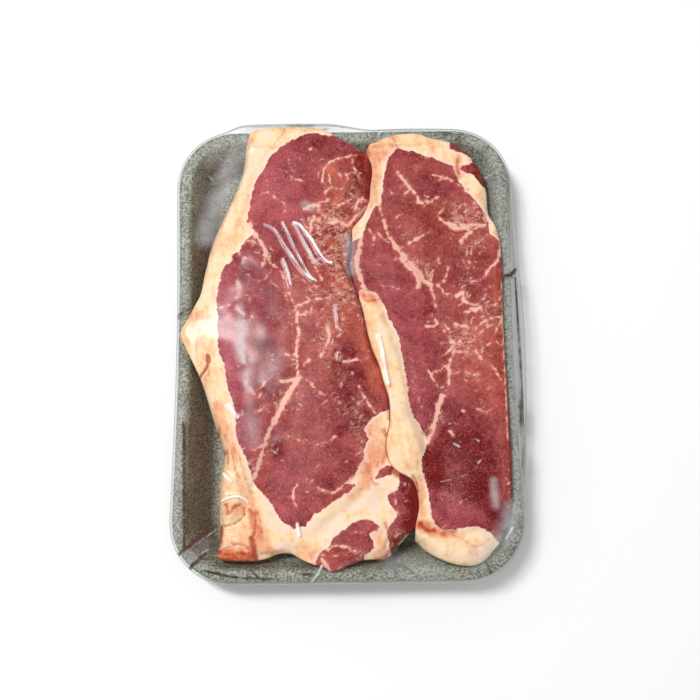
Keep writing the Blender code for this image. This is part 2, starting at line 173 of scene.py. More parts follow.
def grid_faces(index, flip=False):
    """Quads over a grid of vertex numbers."""
    a, b, c, d = index[:-1, :-1], index[:-1, 1:], index[1:, 1:], index[1:, :-1]
    corners = (a, d, c, b) if flip else (a, b, c, d)
    return np.stack(corners, axis=-1).reshape(-1, 4)


def add_piece(name, points, quads, material, marks, node, caps=()):
    """A smooth mesh on the tray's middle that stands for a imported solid. Its marks are point attributes."""
    mesh = bpy.data.meshes.new(name)
    shift = np.array([*TRAY_MIDDLE, 0])
    mesh.from_pydata((points + shift).tolist(), [], quads.tolist() + [list(cap) for cap in caps])
    mesh.shade_smooth()
    for label, values in marks.items():
        mark = mesh.attributes.new(label, "FLOAT", "POINT")
        mark.data.foreach_set("value", np.asarray(values, np.float32).ravel())
    mesh.materials.append(material)
    piece = bpy.data.objects.new(name, mesh)
    bpy.context.scene.collection.objects.link(piece)
    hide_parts(node)
    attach(piece, "root")


def colour(code):
    """A hex sRGB colour as the linear red, green, blue and alpha that a shader takes."""
    srgb = np.array([int(code[i:i + 2], 16) for i in (0, 2, 4)]) / 255
    linear = np.where(srgb <= 0.04045, srgb / 12.92, ((srgb + 0.055) / 1.055) ** 2.4)
    return (*linear.tolist(), 1.0)


def add_node(tree, kind, sockets=None, **settings):
    """Adds a shader node with its settings. Each socket gets a value, or another node's output to read."""
    made = tree.nodes.new("ShaderNode" + kind)
    for setting, value in settings.items():
        setattr(made, setting, value)
    for socket, value in (sockets or {}).items():
        if isinstance(value, bpy.types.NodeSocket):
            tree.links.new(value, made.inputs[socket])
        else:
            made.inputs[socket].default_value = value
    return made


def new_material(name):
    """An empty node material and its output node."""
    material = bpy.data.materials.new(name)
    material.use_nodes = True
    material.node_tree.nodes.clear()
    return material, material.node_tree, material.node_tree.nodes.new("ShaderNodeOutputMaterial")


# Polystyrene foam: its cells, 0.3 to 0.8 mm across, are drawn about 1 mm wide so that the speckle shows.
# It is matt, and clouded over patches about 11 mm across. Juice smears it brown over about 14 mm; on the
# inner left wall that brown also stands for painted shade.
foam, tree, output = new_material("polystyrene_foam_speckled")
place = add_node(tree, "TexCoord").outputs["Object"]
cells = add_node(tree, "TexNoise", {"Vector": place, "Scale": 1050.0, "Detail": 2.0}).outputs["Fac"]
clouds = add_node(tree, "TexNoise", {"Vector": place, "Scale": 90.0, "Detail": 2.0}).outputs["Fac"]
speckle = add_node(tree, "MapRange", {"Value": cells, "From Min": 0.36, "From Max": 0.66}).outputs[0]
grey = add_node(tree, "Mix", {0: speckle, 6: colour("5c5f54"), 7: colour("b1b4a4")}, data_type="RGBA")
shade = add_node(tree, "MapRange", {"Value": clouds, "From Min": 0.3, "From Max": 0.7,
                                    "To Min": 0.84, "To Max": 1.12}).outputs[0]
toned = add_node(tree, "VectorMath", {0: grey.outputs[2], 1: shade}, operation="MULTIPLY").outputs[0]
# The juice mark is a stain, and on the inner left wall painted shade as well
juice = add_node(tree, "Attribute", attribute_name="juice").outputs["Fac"]
smear = add_node(tree, "TexNoise", {"Vector": place, "Scale": 70.0, "Detail": 4.0}).outputs["Fac"]
wet = add_node(tree, "Math", {0: smear, 1: 1.6, 2: juice}, operation="MULTIPLY_ADD").outputs[0]
stain_and_shade = add_node(tree, "MapRange", {"Value": wet, "From Min": 1.0, "From Max": 2.1}).outputs[0]
brown = add_node(tree, "Mix", {0: stain_and_shade, 6: toned, 7: colour("ccb5a3")},
                 data_type="RGBA", blend_type="MULTIPLY")
pits = add_node(tree, "Bump", {"Height": cells, "Strength": 0.35, "Distance": 0.3 * MM}).outputs[0]
shader = add_node(tree, "BsdfPrincipled",
                  {"Base Color": brown.outputs[2], "Roughness": 0.55, "Normal": pits}).outputs[0]
tree.links.new(shader, output.inputs["Surface"])

# The section runs from the floor up the inner wall, over the lip and down the outside to the base
section = filleted(
    [(INNER_FOOT_INSET + BASE_FLAT, TRAY_FLOOR), (INNER_FOOT_INSET, TRAY_FLOOR), (LIP_WIDTH, TRAY_TOP),
     (0, TRAY_TOP), (0, TRAY_TOP - LIP_DEPTH), (LIP_OVERHANG, TRAY_TOP - LIP_DEPTH - LIP_FILLET),
     (OUTER_FOOT_INSET, TRAY_FOOT), (OUTER_FOOT_INSET + BASE_FLAT, TRAY_FOOT)],
    [BASE_FILLET, LIP_FILLET, LIP_FILLET, 0.5 * LIP_FILLET, 0.5 * LIP_FILLET, BASE_FILLET],
    steps=6,
)
section_rings = along(section, np.linspace(0, 1, TRAY_RINGS))
rings = [np.insert(tray_loop(inset, TRAY_ACROSS, TRAY_DOWN), 2, z, axis=1) for inset, z in section_rings]
round_count = len(rings[0])
index = np.arange(TRAY_RINGS * round_count).reshape(TRAY_RINGS, round_count)
tray_points = np.vstack(rings)
# Juice run down the walls, with painted shade as well on the inner left wall: line, half width, amount
JUICE_AND_SHADE_ON_TRAY = (
    ([(-66, 92), (-70, 60), (-71, 20), (-71, -20), (-71, -60), (-70, -94)], 11, 1.5),
    ([(-60, 98), (-40, 104)], 6, 0.5),
    ([(74, 40), (74, -20), (74, -70)], 5, 1.0),
    ([(-60, -103), (-20, -104), (20, -104)], 5, 0.9),
)
add_piece("foam_tray", tray_points, grid_faces(np.column_stack([index, index[:, 0]]), flip=True), foam,
          {"juice": strongest_band(tray_points, JUICE_AND_SHADE_ON_TRAY)}, "tray",
          caps=(index[0], index[-1][::-1]))

# Left steak
# A boneless sirloin steak, cut across the loin: a fat cap down its outer side, a pale seam between its
# two main muscles, and a rough cap muscle against the cleft. It is cut by hand and laid in the tray.
STEAK_TOP = 26.5 * MM
STEAK_GAP = 0.5 * MM
THINNEST_STEAK = 4.5 * MM
EDGE_RADIUS = 5 * MM
CLEFT_HALF_GAP = 0.1 * MM
CLEFT_RADIUS = 0.8 * MM
LOWER_EDGE_RADIUS = 4 * MM
EDGE_LEVEL = 0.45
CLEFT_LEVEL = 0.97
WALL_REACH = 3.5 * MM
SEAM_WIDTH = 4
CLEFT_REACH = 0.6
FAT_REACH = 6 * MM
VEIN_REACH = 4 * MM
PLAIN_LIGHT, PLAIN_HUE, PLAIN_WARMTH = 0.5, 0.35, 0.14
CUT_SPREAD = 1.5
CUT_DEPTH = 0.7
NOISE_CELLS = 256
NOISE_SHIFT = 1000.5

CLEFT = np.array([
    (11, 97.5), (13.2, 93), (13.8, 87), (12.9, 80), (12, 72), (9, 64.5), (3.8, 58.5), (3.6, 53), (3.2, 46),
    (2.4, 40), (3.6, 33), (5.5, 26), (7.8, 19), (9.5, 10), (10.8, 4), (12.5, -2.4), (15.2, -9), (17.6, -18),
    (20, -26), (20.5, -37), (18.8, -45), (18.4, -50.5), (20, -56.5), (23.5, -60.8), (30, -64.4),
    (32.2, -69), (33.3, -77), (31.5, -86),
]) * MM
LEFT_FAR_SIDE = np.array([
    (-47, 110.8), (-36, 112.8), (-21, 112.8), (-10, 111.2), (-4, 107.2), (3.5, 102.9), (11, 97.5),
]) * MM
LEFT_NEAR_SIDE = np.array([
    (22, -97), (19.6, -99.8), (16, -101.2), (11, -101.2), (6, -101.7), (1, -103.5), (-4, -105.8),
    (-8, -106.4), (-12, -104.6), (-17, -103), (-22, -100.8), (-27, -98.2), (-33, -98.4), (-38, -100.4),
    (-45, -101.4), (-54, -101.2), (-59, -100.6), (-61, -99),
]) * MM
LEFT_FAT_SIDE = np.array([
    (-61, -99), (-60.6, -86), (-61, -74), (-60.4, -62), (-59.4, -51), (-64, -36), (-70, -16), (-77, -1),
    (-80, 7), (-75.5, 16), (-71, 26), (-69, 38), (-65.5, 54), (-59.5, 70), (-52.5, 87), (-47, 110.8),
]) * MM

# Swellings of the top: line, half width, height. Grooves: line, depth
LEFT_LOBES = (
    ([(-41, 52), (-47, 30), (-46, 5), (-44, -20), (-42, -45)], 19, 3.2),
    ([(-18, 95), (-22, 75), (-18, 52)], 26, 1.6),
    ([(-8, 20), (-10, -10), (-8, -45), (-12, -70)], 24, 2.2),
    ([(4, 88), (6, 76)], 11, 1.8),
    ([(22, -60), (24, -78)], 11, 1.6),
    ([(-2, -94), (10, -90)], 13, 2.0),
    ([(-56, -66), (-55, -78)], 8, 1.8),
    ([(-54, -92), (-46, -94)], 8, 1.6),
)
LEFT_SEAMS = (
    ([(-48, 55), (-40, 46), (-29, 26), (-25, 0), (-26, -14), (-34, -36), (-41, -62), (-47, -74)], 1.3),
    ([(-34, 101), (-44, 84), (-49, 62), (-55, 42), (-58, 14), (-56, -10), (-51, -34), (-43, -70)], 0.9),
    ([(-47, -74), (-36, -90), (-22, -96), (-8, -84), (8, -70), (14, -52)], 0.9),
    ([(-4, 84), (-8, 66), (-4, 52), (2, 36)], 1.0),
)

# Fat: everything outside the lean, whose outer boundary this line follows from the far end to the cleft
LEFT_LEAN_EDGE = [
    (-1, 110), (-6.8, 106.6), (-15.3, 108.2), (-20.3, 107.2), (-26.8, 104.1), (-32.3, 100.5), (-35.7, 97.9),
    (-41, 88.6), (-44, 84), (-45.6, 77.7), (-46.4, 73.3), (-47.4, 66.8), (-48.4, 62.8), (-45.2, 57.7),
    (-44.2, 55.5), (-46.2, 54.5), (-48, 53.1), (-50, 49.9), (-51.7, 46.4), (-54.8, 46.1), (-55.4, 42.2),
    (-58.8, 39.4), (-60.1, 36.9), (-61.1, 31.3), (-62.7, 23.6), (-61.6, 15.5), (-62, 8), (-61, -3),
    (-58, -10.3), (-57, -18), (-53.5, -29), (-52.4, -36), (-52.4, -42.4), (-50.4, -48.4), (-47.4, -53.5),
    (-45.6, -59.4), (-44, -65), (-41.4, -68.7), (-35.7, -75), (-31.3, -82), (-25.5, -87), (-19.7, -85.5),
    (-16, -80.5), (-12.9, -79.5), (-7.3, -75.1), (-2.2, -71.9), (1.8, -69.1), (4.7, -66.9), (0.7, -66.3),
    (3.6, -62.4), (5.3, -59), (8.2, -54.6), (7.7, -50.6), (10.1, -45.5), (8.4, -40.9), (10.2, -37.5),
    (14, -34), (22, -31),
]
LEFT_OUTSIDE = [(45, -60), (45, -120), (-95, -120), (-95, 0), (-70, 125), (-1, 125)]
LEFT_ISLANDS = (
    [(-8.6, -95), (-6.3, -90.6), (-1.8, -87.4), (2.7, -84.1), (6.7, -82.8), (11.2, -83.4), (15, -86.5),
     (13.9, -88.1), (9.4, -89.2), (11.6, -93), (12.1, -95.8), (8.1, -99), (5, -106), (-2, -112), (-12, -110),
     (-15, -104), (-14, -99)],
    [(24, -60.5), (36, -60), (37, -75), (36, -89), (27.3, -90), (23.9, -94), (20.6, -100), (18.3, -90.9),
     (18.4, -87.1), (20.7, -84.3), (23, -82.1), (21.9, -79.4), (20.3, -76.6), (18.7, -73.8), (19.3, -71),
     (23.3, -69.4), (24.5, -66)],
    [(13.2, -63.6), (14.9, -60.3), (18.4, -58.1), (22, -58.6), (20.5, -62), (16.6, -63.7), (13.2, -64.8)],
)
# Thin fat between and in the muscles: line, half width
LEFT_VEINS = (
    ([(-44, 54.5), (-41.1, 50.9), (-38.8, 46.9), (-39, 42.7), (-40, 39.5)], 0.9),
    ([(-47.4, 60.8), (-43.5, 55), (-41, 51), (-38.4, 46.9)], 0.9),
    ([(-38, 45.9), (-36.9, 41.6), (-34.2, 39.4), (-31.1, 36.2), (-29.7, 32.3), (-29, 28), (-27, 24.5)], 0.5),
    ([(-35.5, 38.7), (-36.9, 35.2), (-38.6, 32.8)], 0.35),
    ([(-35.8, 31.3), (-32.1, 28.5), (-29, 24.9), (-27.7, 22.3)], 0.3),
    ([(-28, 27), (-25.5, 21.5), (-23.7, 16.1), (-23.4, 10.6), (-22.7, 4.5), (-23.8, -1.9), (-23.4, -9.1),
      (-23.1, -15.4)], 0.8),
    ([(-23.1, -14.7), (-18.2, -17.6), (-15.8, -20.1), (-12.7, -23.3)], 0.45),
    ([(-12.3, -23.6), (-10.2, -24.4)], 0.9),
    ([(-23.4, -16.2), (-27.6, -17.5), (-31, -17.8)], 0.9),
    ([(-23.4, -16.5), (-26, -21.5), (-29.3, -26), (-31.5, -31), (-34.4, -37)], 1.6),
    ([(-34.3, -37), (-37.3, -43.3), (-39.4, -50.6), (-41, -56.5), (-44.5, -64)], 1.1),
    ([(-32.2, -13.6), (-34.9, -15), (-37.7, -17), (-39.8, -20.2), (-43.6, -24)], 0.3),
    ([(-39.8, -20.2), (-41.2, -26.2)], 0.25),
    ([(-24.4, 19.7), (-21.6, 19.7), (-18.4, 21.4), (-15.6, 22.5), (-10.6, 22.4)], 0.6),
    ([(-23, 14.6), (-19.5, 14.9)], 0.45),
    ([(-24.1, 11), (-27.3, 11), (-29.4, 10), (-29.4, 8.2)], 0.35),
    ([(-23.8, -4.8), (-27.6, -4.8), (-29.7, -3.7)], 0.6),
    ([(-23.6, -9), (-27, -9.5), (-30, -11)], 0.3),
    ([(-47, 14.5), (-42.8, 13.4)], 0.25),
    ([(-46.8, 34.6), (-45.1, 32.5), (-42.7, 31.2), (-41, 31.7)], 0.25),
    ([(-53.8, 48.4), (-52, 45.3), (-49.9, 44.2), (-48.2, 42.8)], 0.35),
    ([(-48.6, 51.7), (-45.9, 52.6), (-43.8, 51)], 0.5),
    ([(-46.7, 62.4), (-45.3, 59.9)], 0.7),
    ([(-8.6, 7.9), (-8.4, 1.5), (-11.9, -5.6)], 0.9),
    ([(-17.8, -7.7), (-20.3, -9.8)], 0.7),
    ([(-1.4, -8.3), (2.1, -7.9), (5.3, -7.3)], 0.7),
    ([(-27, 85.3), (-24, 83.4), (-20.4, 83)], 0.4),
    ([(-41, 77), (-35.3, 77.6)], 0.3),
    ([(-35, 75), (-30, 71.3), (-29.3, 67)], 0.4),
    ([(-62.3, 18.5), (-56, 20)], 0.3),
    ([(-44, -50), (-42, -49.5), (-39.6, -48.5)], 0.7),
    ([(-29, -42.7), (-24.7, -45), (-19, -46)], 0.35),
    ([(-13.7, -48), (-8.2, -46.4), (-5.9, -44.7), (-3.6, -44.2)], 0.5),
    ([(3.6, -62.4), (-1.6, -66.8), (-7.2, -70.7), (-11.7, -69.2)], 0.45),
    ([(-23, -65.4), (-25.5, -71), (-24, -76.3)], 0.6),
    ([(-42.5, -33), (-37.3, -28.5)], 0.3),
    ([(6, -20.7), (9, -26), (14, -34)], 0.6),
    ([(9, -26), (5.4, -29)], 0.5),
    ([(-19.5, 45), (-16, 41), (-11.3, 32)], 0.4),
    ([(-39.7, 87), (-38, 83.6)], 0.35),
    ([(-17.3, 99.2), (-14.3, 99.2)], 0.6),
    ([(6.3, 96.6), (2, 95.7), (-2.8, 94.2), (-7.5, 92.3), (-9.9, 89.3), (-10.4, 85.8), (-10.9, 82.3)], 0.6),
    ([(-10.9, 82.3), (-7.6, 79.3), (-9.3, 76.8), (-8.2, 72.8), (-12.4, 71.4), (-12.9, 67.5)], 0.6),
    ([(-9, 80), (-6.4, 79.8), (-3.6, 79)], 0.3),
    ([(-7, 71.4), (-3, 71), (1, 71.8)], 0.3),
    ([(-9.6, 65), (-8.6, 62), (-5.4, 61)], 0.8),
    ([(-15, 64), (-16.6, 60), (-17, 56)], 0.8),
    ([(-12.6, 63), (-13, 58)], 0.5),
    ([(-13, 70), (-16.7, 69.5), (-20, 68)], 1.2),
    ([(4.1, 94.1), (4.6, 90.6), (6.2, 86.1), (8, 83.1)], 0.4),
    ([(-7.6, 85.8), (-6.2, 79.8)], 0.4),
    ([(-3.3, 87.7), (-1.9, 85.2)], 0.35),
    ([(0.9, 86.2), (2.3, 83.1)], 0.35),
    ([(-6.3, 70.8), (-3, 70.3), (-0.6, 71)], 0.6),
    ([(-5.4, 61.5), (-1.7, 61.4), (1.6, 59.9), (4.4, 62.8), (7.3, 65.3), (10.6, 69.2)], 0.9),
    ([(5.5, 68.7), (7.4, 72.7), (10.7, 72.1)], 0.9),
    ([(-9.7, -96.6), (-5.8, -94.5), (-0.7, -95.6), (3.1, -97.3)], 0.7),
    ([(2.1, -89.1), (5.5, -88.6), (8.3, -89.7)], 0.3),
    ([(-13, -98.5), (-8, -99.6), (-2, -98.6)], 0.3),
    ([(-12, -101), (-9.6, -104.8), (-8.6, -106.4)], 0.9),
    ([(14, -88), (15, -92), (12.6, -95)], 0.5),
    ([(18.4, -66), (22, -71), (22.6, -77), (22.4, -82)], 0.5),
)
# Blood-red creases and spots: line, half width, strength
LEFT_CUTS = (
    ([(-59.6, -85.2), (-55, -84.8), (-50.6, -83), (-48, -79.8), (-48.2, -77)], 0.7, 0.75),
    ([(-59.4, -86), (-59.4, -90), (-60.4, -97)], 1.5, 1.1),
    ([(-45.4, -78), (-43, -82), (-43.2, -88), (-44.4, -92)], 0.7, 0.75),
    ([(-44.6, -91), (-43.4, -96), (-42.6, -101)], 1.5, 1.1),
    ([(-60, -95.6), (-54, -94), (-49, -93.8), (-44.4, -96.4)], 0.8, 0.6),
    ([(-61, -100), (-52.7, -101.6), (-44.7, -101.6)], 1.2, 1.0),
    ([(-56.4, -75.4), (-55.4, -79.6)], 1.1, 0.85),
    ([(-54, -78.6), (-52.4, -76.4), (-50, -75.4)], 0.9, 0.8),
    ([(-58, -51.4), (-60, -50)], 1.4, 0.8),
    ([(-57.6, -43), (-54.6, -50), (-52.6, -58), (-50, -64)], 0.6, 0.5),
    ([(-60.6, -40), (-62, -47)], 1.0, 0.7),
    ([(-56.6, -50), (-56, -56)], 0.9, 0.6),
    ([(-51, -52), (-48, -62), (-45, -72)], 0.5, 0.4),
    ([(-44, -76), (-40.6, -84), (-39.6, -92)], 0.5, 0.45),
    ([(-57.4, -98.6), (-55, -98)], 0.8, 0.7),
    ([(-51, -97.6), (-47, -98.4)], 0.8, 0.7),
    ([(-40, -98), (-35, -97.6), (-30, -96.6)], 1.0, 0.5),
    ([(-29.3, 111), (-31.3, 106.8), (-33.8, 104.2), (-35.2, 102.1)], 0.6, 0.4),
    ([(-54.7, 44.6), (-53, 42.8), (-50.4, 40.6)], 1.1, 0.9),
    ([(-3.3, -43.6), (-2.6, -43.6)], 1.6, 1.1),
    ([(17.8, -41.4), (18.4, -44)], 1.5, 0.7),
    ([(17.6, -53), (16.6, -57)], 1.2, 0.5),
    ([(11.4, -64), (12.4, -66.4), (14, -66.6)], 0.9, 0.6),
    ([(-66.3, -4.8), (-66, -7.6)], 1.3, 1.4),
    ([(-66, -7), (-66.9, -10.6), (-68.8, -13.1), (-70.5, -15.1)], 0.9, 1.1),
    ([(-68.5, -4.6), (-68.2, -6)], 1.0, 0.5),
    ([(-65.8, -11.8), (-65.6, -13.4)], 1.1, 0.5),
    ([(13, 94), (13.2, 88), (12.2, 80), (11.2, 74)], 1.5, 0.9),
    ([(5, 97), (10, 98.4)], 1.2, 0.7),
    ([(4, 77), (9, 77)], 1.6, 0.5),
    ([(-6.4, 76.4), (-5, 74.6)], 1.4, 0.4),
    ([(-9, 57), (-4, 55.4), (1, 57)], 1.0, 0.6),
    ([(-8, 51.8), (-3, 51.6), (1.6, 50)], 0.8, 0.5),
    ([(-3, 42), (1, 36), (4, 27)], 1.2, 0.7),
    ([(5.6, 25), (8.4, 16), (10, 6), (12, -3), (15, -10)], 1.3, 0.7),
    ([(17, -20), (19.6, -27), (20, -36)], 0.9, 0.6),
    # Blood, and painted shade: this cut darkens the lower cleft where shade falls between the two steaks
    ([(22, -60.5), (28, -63.6), (31, -68), (32, -78), (30, -88)], 2.6, 1.2),
    ([(12, -102), (17, -100.4), (20, -97)], 1.3, 0.8),
    ([(17.6, -85), (18.6, -90), (16.6, -96)], 0.9, 0.5),
    ([(26, -70), (29, -66.6)], 1.0, 0.9),
    ([(-18, 99.6), (-17.6, 97.6)], 0.8, 0.5),
    ([(5, 60), (3.4, 54), (3, 50)], 1.1, 0.6),
    ([(10.6, 72), (9, 67), (6, 63)], 1.1, 0.6),
    ([(6, 72), (3, 68), (-1, 66.4)], 0.9, 0.4),
    ([(1, 94), (3, 88), (3, 80), (1, 74)], 0.8, 0.35),
)
# Tone of the lean, laid on in turn: line, half width, lightness, and hue from purple 0 to orange 1
LEFT_TONES = (
    ([(-20, 98), (-30, 80), (-25, 60)], 30, 0.52, 0.1),
    ([(-38, 84), (-40, 70)], 10, 0.72, 0.1),
    ([(-32, 68), (-26, 62)], 9, 0.72, 0.15),
    ([(-22, 104), (-8, 102), (2, 98)], 8, 0.3, 0.15),
    ([(-44, 45), (-44, 10), (-40, -10)], 17, 0.4, 0.05),
    ([(-38, -4), (-40, -22)], 8, 0.2, 0.1),
    ([(-57, 30), (-57, 5), (-55, -14), (-50, -34)], 8, 0.66, -0.3),
    ([(-44, -32), (-46, -55)], 11, 0.6, 0.1),
    ([(-12, 20), (-10, -5), (-10, -30), (-15, -60)], 24, 0.5, 0.4),
    ([(-16, 28), (-6, 10), (-4, -4)], 15, 0.56, 0.6),
    ([(2, -6), (5, -20), (4, -34)], 12, 0.16, 0.2),
    ([(-14, -28), (-8, -36)], 9, 0.34, 0.2),
    ([(-34, -44), (-32, -54)], 5, 0.24, 0.1),
    ([(-8, -52), (-2, -60)], 9, 0.36, 0.25),
    ([(-10, -70), (-4, -68)], 7, 0.36, 0.3),
    ([(-24, -60), (-26, -82)], 12, 0.56, 0.0),
    ([(-3, 88), (0, 80), (0, 70)], 8, 0.5, 0.5),
    ([(8, 94), (9, 86), (8, 78)], 6, 0.1, 0.7),
    ([(-8, 88), (-6, 76)], 4, 0.62, 0.9),
    ([(-7, 66), (-5, 52), (-3.4, 41), (-1, 27), (2, 12)], 12, 0.56, 0.8),
    ([(-4, 57), (0, 55)], 5, 0.2, 0.6),
    ([(-7, 68), (1, 66)], 4, 0.24, 0.8),
    ([(-12, 52), (-8, 48)], 4, 0.3, 0.9),
    ([(2, 50), (-3, 45)], 3, 0.3, 1.0),
    ([(-9, 90), (-6, 87)], 3, 0.85, 1.0),
    ([(-6, 76.6), (-4, 73)], 3, 0.75, 1.0),
    ([(-2, 85), (0, 78)], 4, 0.66, 0.5),
    ([(4, 80), (3, 73)], 4, 0.24, 0.6),
    ([(0, 46), (3, 36)], 4, 0.24, 1.0),
    ([(9, 3), (12, -8), (15, -20)], 6, 0.6, 1.0),
    ([(0, -90), (8, -94)], 10, 0.46, 0.3),
    ([(4, -86), (8, -90)], 5, 0.26, 0.2),
    ([(26, -66), (24, -76), (20, -80)], 8, 0.5, -0.1),
    # Painted shade: the lean is made nearly black along the lower cleft, where shade falls between the steaks
    ([(31, -68), (31, -84), (24, -92)], 6, 0.06, 0.4),
)
# Rough, stringy meat with more marbling: line, half width, amount
LEFT_FIBRES = (
    ([(-7, 65), (-5, 52), (-3.4, 41), (-1, 27), (2, 12)], 12, 0.9),
    ([(3, 93), (4, 78), (0, 68)], 9, 0.45),
    ([(-18, 60), (-12, 50)], 6, 0.9),
    ([(-16, 26), (-8, 8), (2, -8)], 13, 0.6),
    ([(-30, 26), (-26, 30)], 5, 0.5),
    ([(-44, 50), (-38, 44)], 6, 0.8),
    ([(-4, -36), (6, -44)], 12, 0.35),
)
# Warmth of the fat, from pale 0 to pink 0.5 and orange-red 1: line, half width, warmth
LEFT_WARMTHS = (
    ([(-44, 100), (-50, 88)], 6, 0.06),
    ([(-44, 112), (-52, 92), (-62, 60), (-72, 30)], 3, 0.34),
    ([(-46, 64), (-58, 52)], 8, 0.28),
    ([(-76, 8), (-70, 0), (-66, -12)], 9, 0.3),
    ([(-80, 8), (-75, 14)], 7, 0.42),
    ([(-62, -30), (-60, -50), (-58, -58)], 5, 0.42),
    ([(-56, -40), (-51, -58), (-46, -72), (-41, -86), (-37, -96)], 3.4, 0.5),
    ([(-50, -60), (-46, -68)], 4, 0.2),
    ([(-57, -66), (-57, -80)], 6, 0.3),
    ([(-55, -78), (-50, -77)], 4, 0.5),
    ([(-57, -89), (-48, -90)], 7, 0.32),
    ([(-58, -98.6), (-46, -98.8)], 4.5, 0.85),
    ([(-44, -80), (-43, -96)], 3, 0.6),
    ([(-37, -74), (-31, -86), (-20, -88)], 4, 0.0),
    ([(-26, -92), (-14, -88)], 9, 0.02),
    ([(-20, -97), (-12, -101)], 6, 0.5),
    ([(-14, -84), (0, -77), (12, -74)], 9, 0.06),
    ([(2, -72), (10, -66)], 4, 0.45),
    ([(12, -38), (13, -50), (10, -60)], 7, 0.54),
    ([(17, -46), (16, -60)], 4, 0.5),
    ([(14, -68), (20, -65)], 4, 0.2),
    ([(14, -92), (16, -98)], 6, 0.45),
    ([(-8, 110), (-30, 111)], 5, 0.3),
)


def tray_inset(points):
    """How far inside the tray's outer edge each point is."""
    x = np.abs(points[..., 0]) / (1 - waist_share(points[..., 1]))
    y = np.abs(points[..., 1])
    over_x = x - (TRAY_WIDTH / 2 - TRAY_CORNER_RADIUS)
    over_y = y - (TRAY_LENGTH / 2 - TRAY_CORNER_RADIUS)
    outside = np.hypot(over_x.clip(0), over_y.clip(0)) + np.minimum(np.maximum(over_x, over_y), 0)
    return TRAY_CORNER_RADIUS - outside


def tray_surface(points, reach):
    """Height of the tray's upper side below each point, at the highest within this reach outwards."""
    upper = section[: int(np.argmin(section[:, 0] > 1e-9))]
    order = np.argsort(upper[:, 0])
    return np.interp(tray_inset(points) - reach, upper[order, 0], upper[order, 1])


def inside(points, loop):
    """True for each point within a closed loop, by counting the loop's edges on one side of it."""
    x, y = points[..., 0], points[..., 1]
    odd = np.zeros(x.shape, bool)
    for (x0, y0), (x1, y1) in zip(loop, np.roll(loop, -1, axis=0)):
        if y0 != y1:
            odd ^= ((y0 > y) != (y1 > y)) & (x < x0 + (y - y0) / (y1 - y0) * (x1 - x0))
    return odd


def depth_within(points, loop, reach):
    """Distance to a closed loop, more than 0 inside it and less outside, up to the reach."""
    loop = np.asarray(loop, float)
    far_in = distance(points, np.vstack([loop, loop[:1]]), reach)
    return np.where(inside(points, loop), far_in, -far_in)


def steak_heights(points, outline, lobes, seams, crags):
    """Heights of a steak's top and underside.

    The top is flat, plus a hump along each lobe, less a groove along each seam, plus the crags. From the
    outline both sides round off as quarter ellipses, more tightly along the cleft between the steaks.
    """
    depth_in = distance(points, outline, EDGE_RADIUS)
    underside = np.maximum(tray_surface(points, 0), tray_surface(points, WALL_REACH)) + STEAK_GAP
    crown = STEAK_TOP + crags
    for line, half_width, rise in lobes:
        crown = crown + rise * MM * soft_band(points, line, half_width)
    for line, depth in seams:
        crown = crown - depth * MM * soft_band(points, line, SEAM_WIDTH)
    crown = np.maximum(crown, underside + THINNEST_STEAK)
    off_cleft = (distance(points, CLEFT, 2 * EDGE_RADIUS) / EDGE_RADIUS - CLEFT_REACH).clip(0, 1)
    radius = CLEFT_RADIUS + (EDGE_RADIUS - CLEFT_RADIUS) * off_cleft
    edge = underside + (CLEFT_LEVEL + (EDGE_LEVEL - CLEFT_LEVEL) * off_cleft) * (crown - underside)
    upper = np.sqrt(1 - (1 - (depth_in / radius).clip(0, 1)) ** 2)
    lower = np.sqrt(1 - (1 - (depth_in / LOWER_EDGE_RADIUS).clip(0, 1)) ** 2)
    return edge + (crown - edge) * upper, edge - (edge - underside) * lower


def beef_marks(points, fat_depth, veins, cuts, tones, fibres, warmths):
    """The marks that colour beef: depth into fat and into thin fat in millimetres, tone, hue and so on."""
    vein = np.full(points.shape[:-1], -3.0)
    for line, half_width in veins:
        path = smooth_path(np.array(line, float) * MM, MARK_STEPS)
        vein = np.maximum(vein, half_width - distance(points, path, VEIN_REACH) / MM)
    light, hue = np.full(vein.shape, PLAIN_LIGHT), np.full(vein.shape, PLAIN_HUE)
    for line, half_width, goal, goal_hue in tones:
        share = np.sqrt(soft_band(points, line, half_width))
        light, hue = light + share * (goal - light), hue + share * (goal_hue - hue)
    fibre, warm, cut = np.zeros(vein.shape), np.full(vein.shape, PLAIN_WARMTH), np.zeros(vein.shape)
    for line, half_width, goal in fibres:
        fibre = np.maximum(fibre, goal * np.sqrt(soft_band(points, line, half_width)))
    for line, half_width, goal in warmths:
        warm = warm + np.sqrt(soft_band(points, line, half_width)) * (goal - warm)
    for line, half_width, strength in cuts:
        cut = np.maximum(cut, strength * soft_band(points, line, CUT_SPREAD * half_width))
    return {"fat": fat_depth / MM, "vein": vein, "light": light, "hue": hue, "fibre": fibre, "warm": warm,
            "cut": cut}


def smooth_step(share):
    """0 up to share 0, 1 from share 1, and between them three times its square less twice its cube."""
    share = share.clip(0, 1)
    return share ** 2 * (3 - 2 * share)


def between(table, columns, rows, s, t):
    """Values between the cells of two columns and two rows, s of the way over and t of the way up."""
    (i, k), (j, l) = columns, rows
    return ((1 - s) * (1 - t) * table[i, j] + s * (1 - t) * table[k, j]
            + (1 - s) * t * table[i, l] + s * t * table[k, l])


def value_noise(points, cell, seed):
    """Noise from -1 to 1: random numbers on a square grid of this cell size, blended by smooth steps."""
    at = points[..., :2] / cell + NOISE_SHIFT
    low = np.floor(at).astype(int)
    s, t = np.moveaxis(at - low, -1, 0)
    table = np.random.default_rng(seed).uniform(-1, 1, (NOISE_CELLS, NOISE_CELLS))
    i, j = low[..., 0] % NOISE_CELLS, low[..., 1] % NOISE_CELLS
    columns, rows = (i, (i + 1) % NOISE_CELLS), (j, (j + 1) % NOISE_CELLS)
    return between(table, columns, rows, smooth_step(s), smooth_step(t))


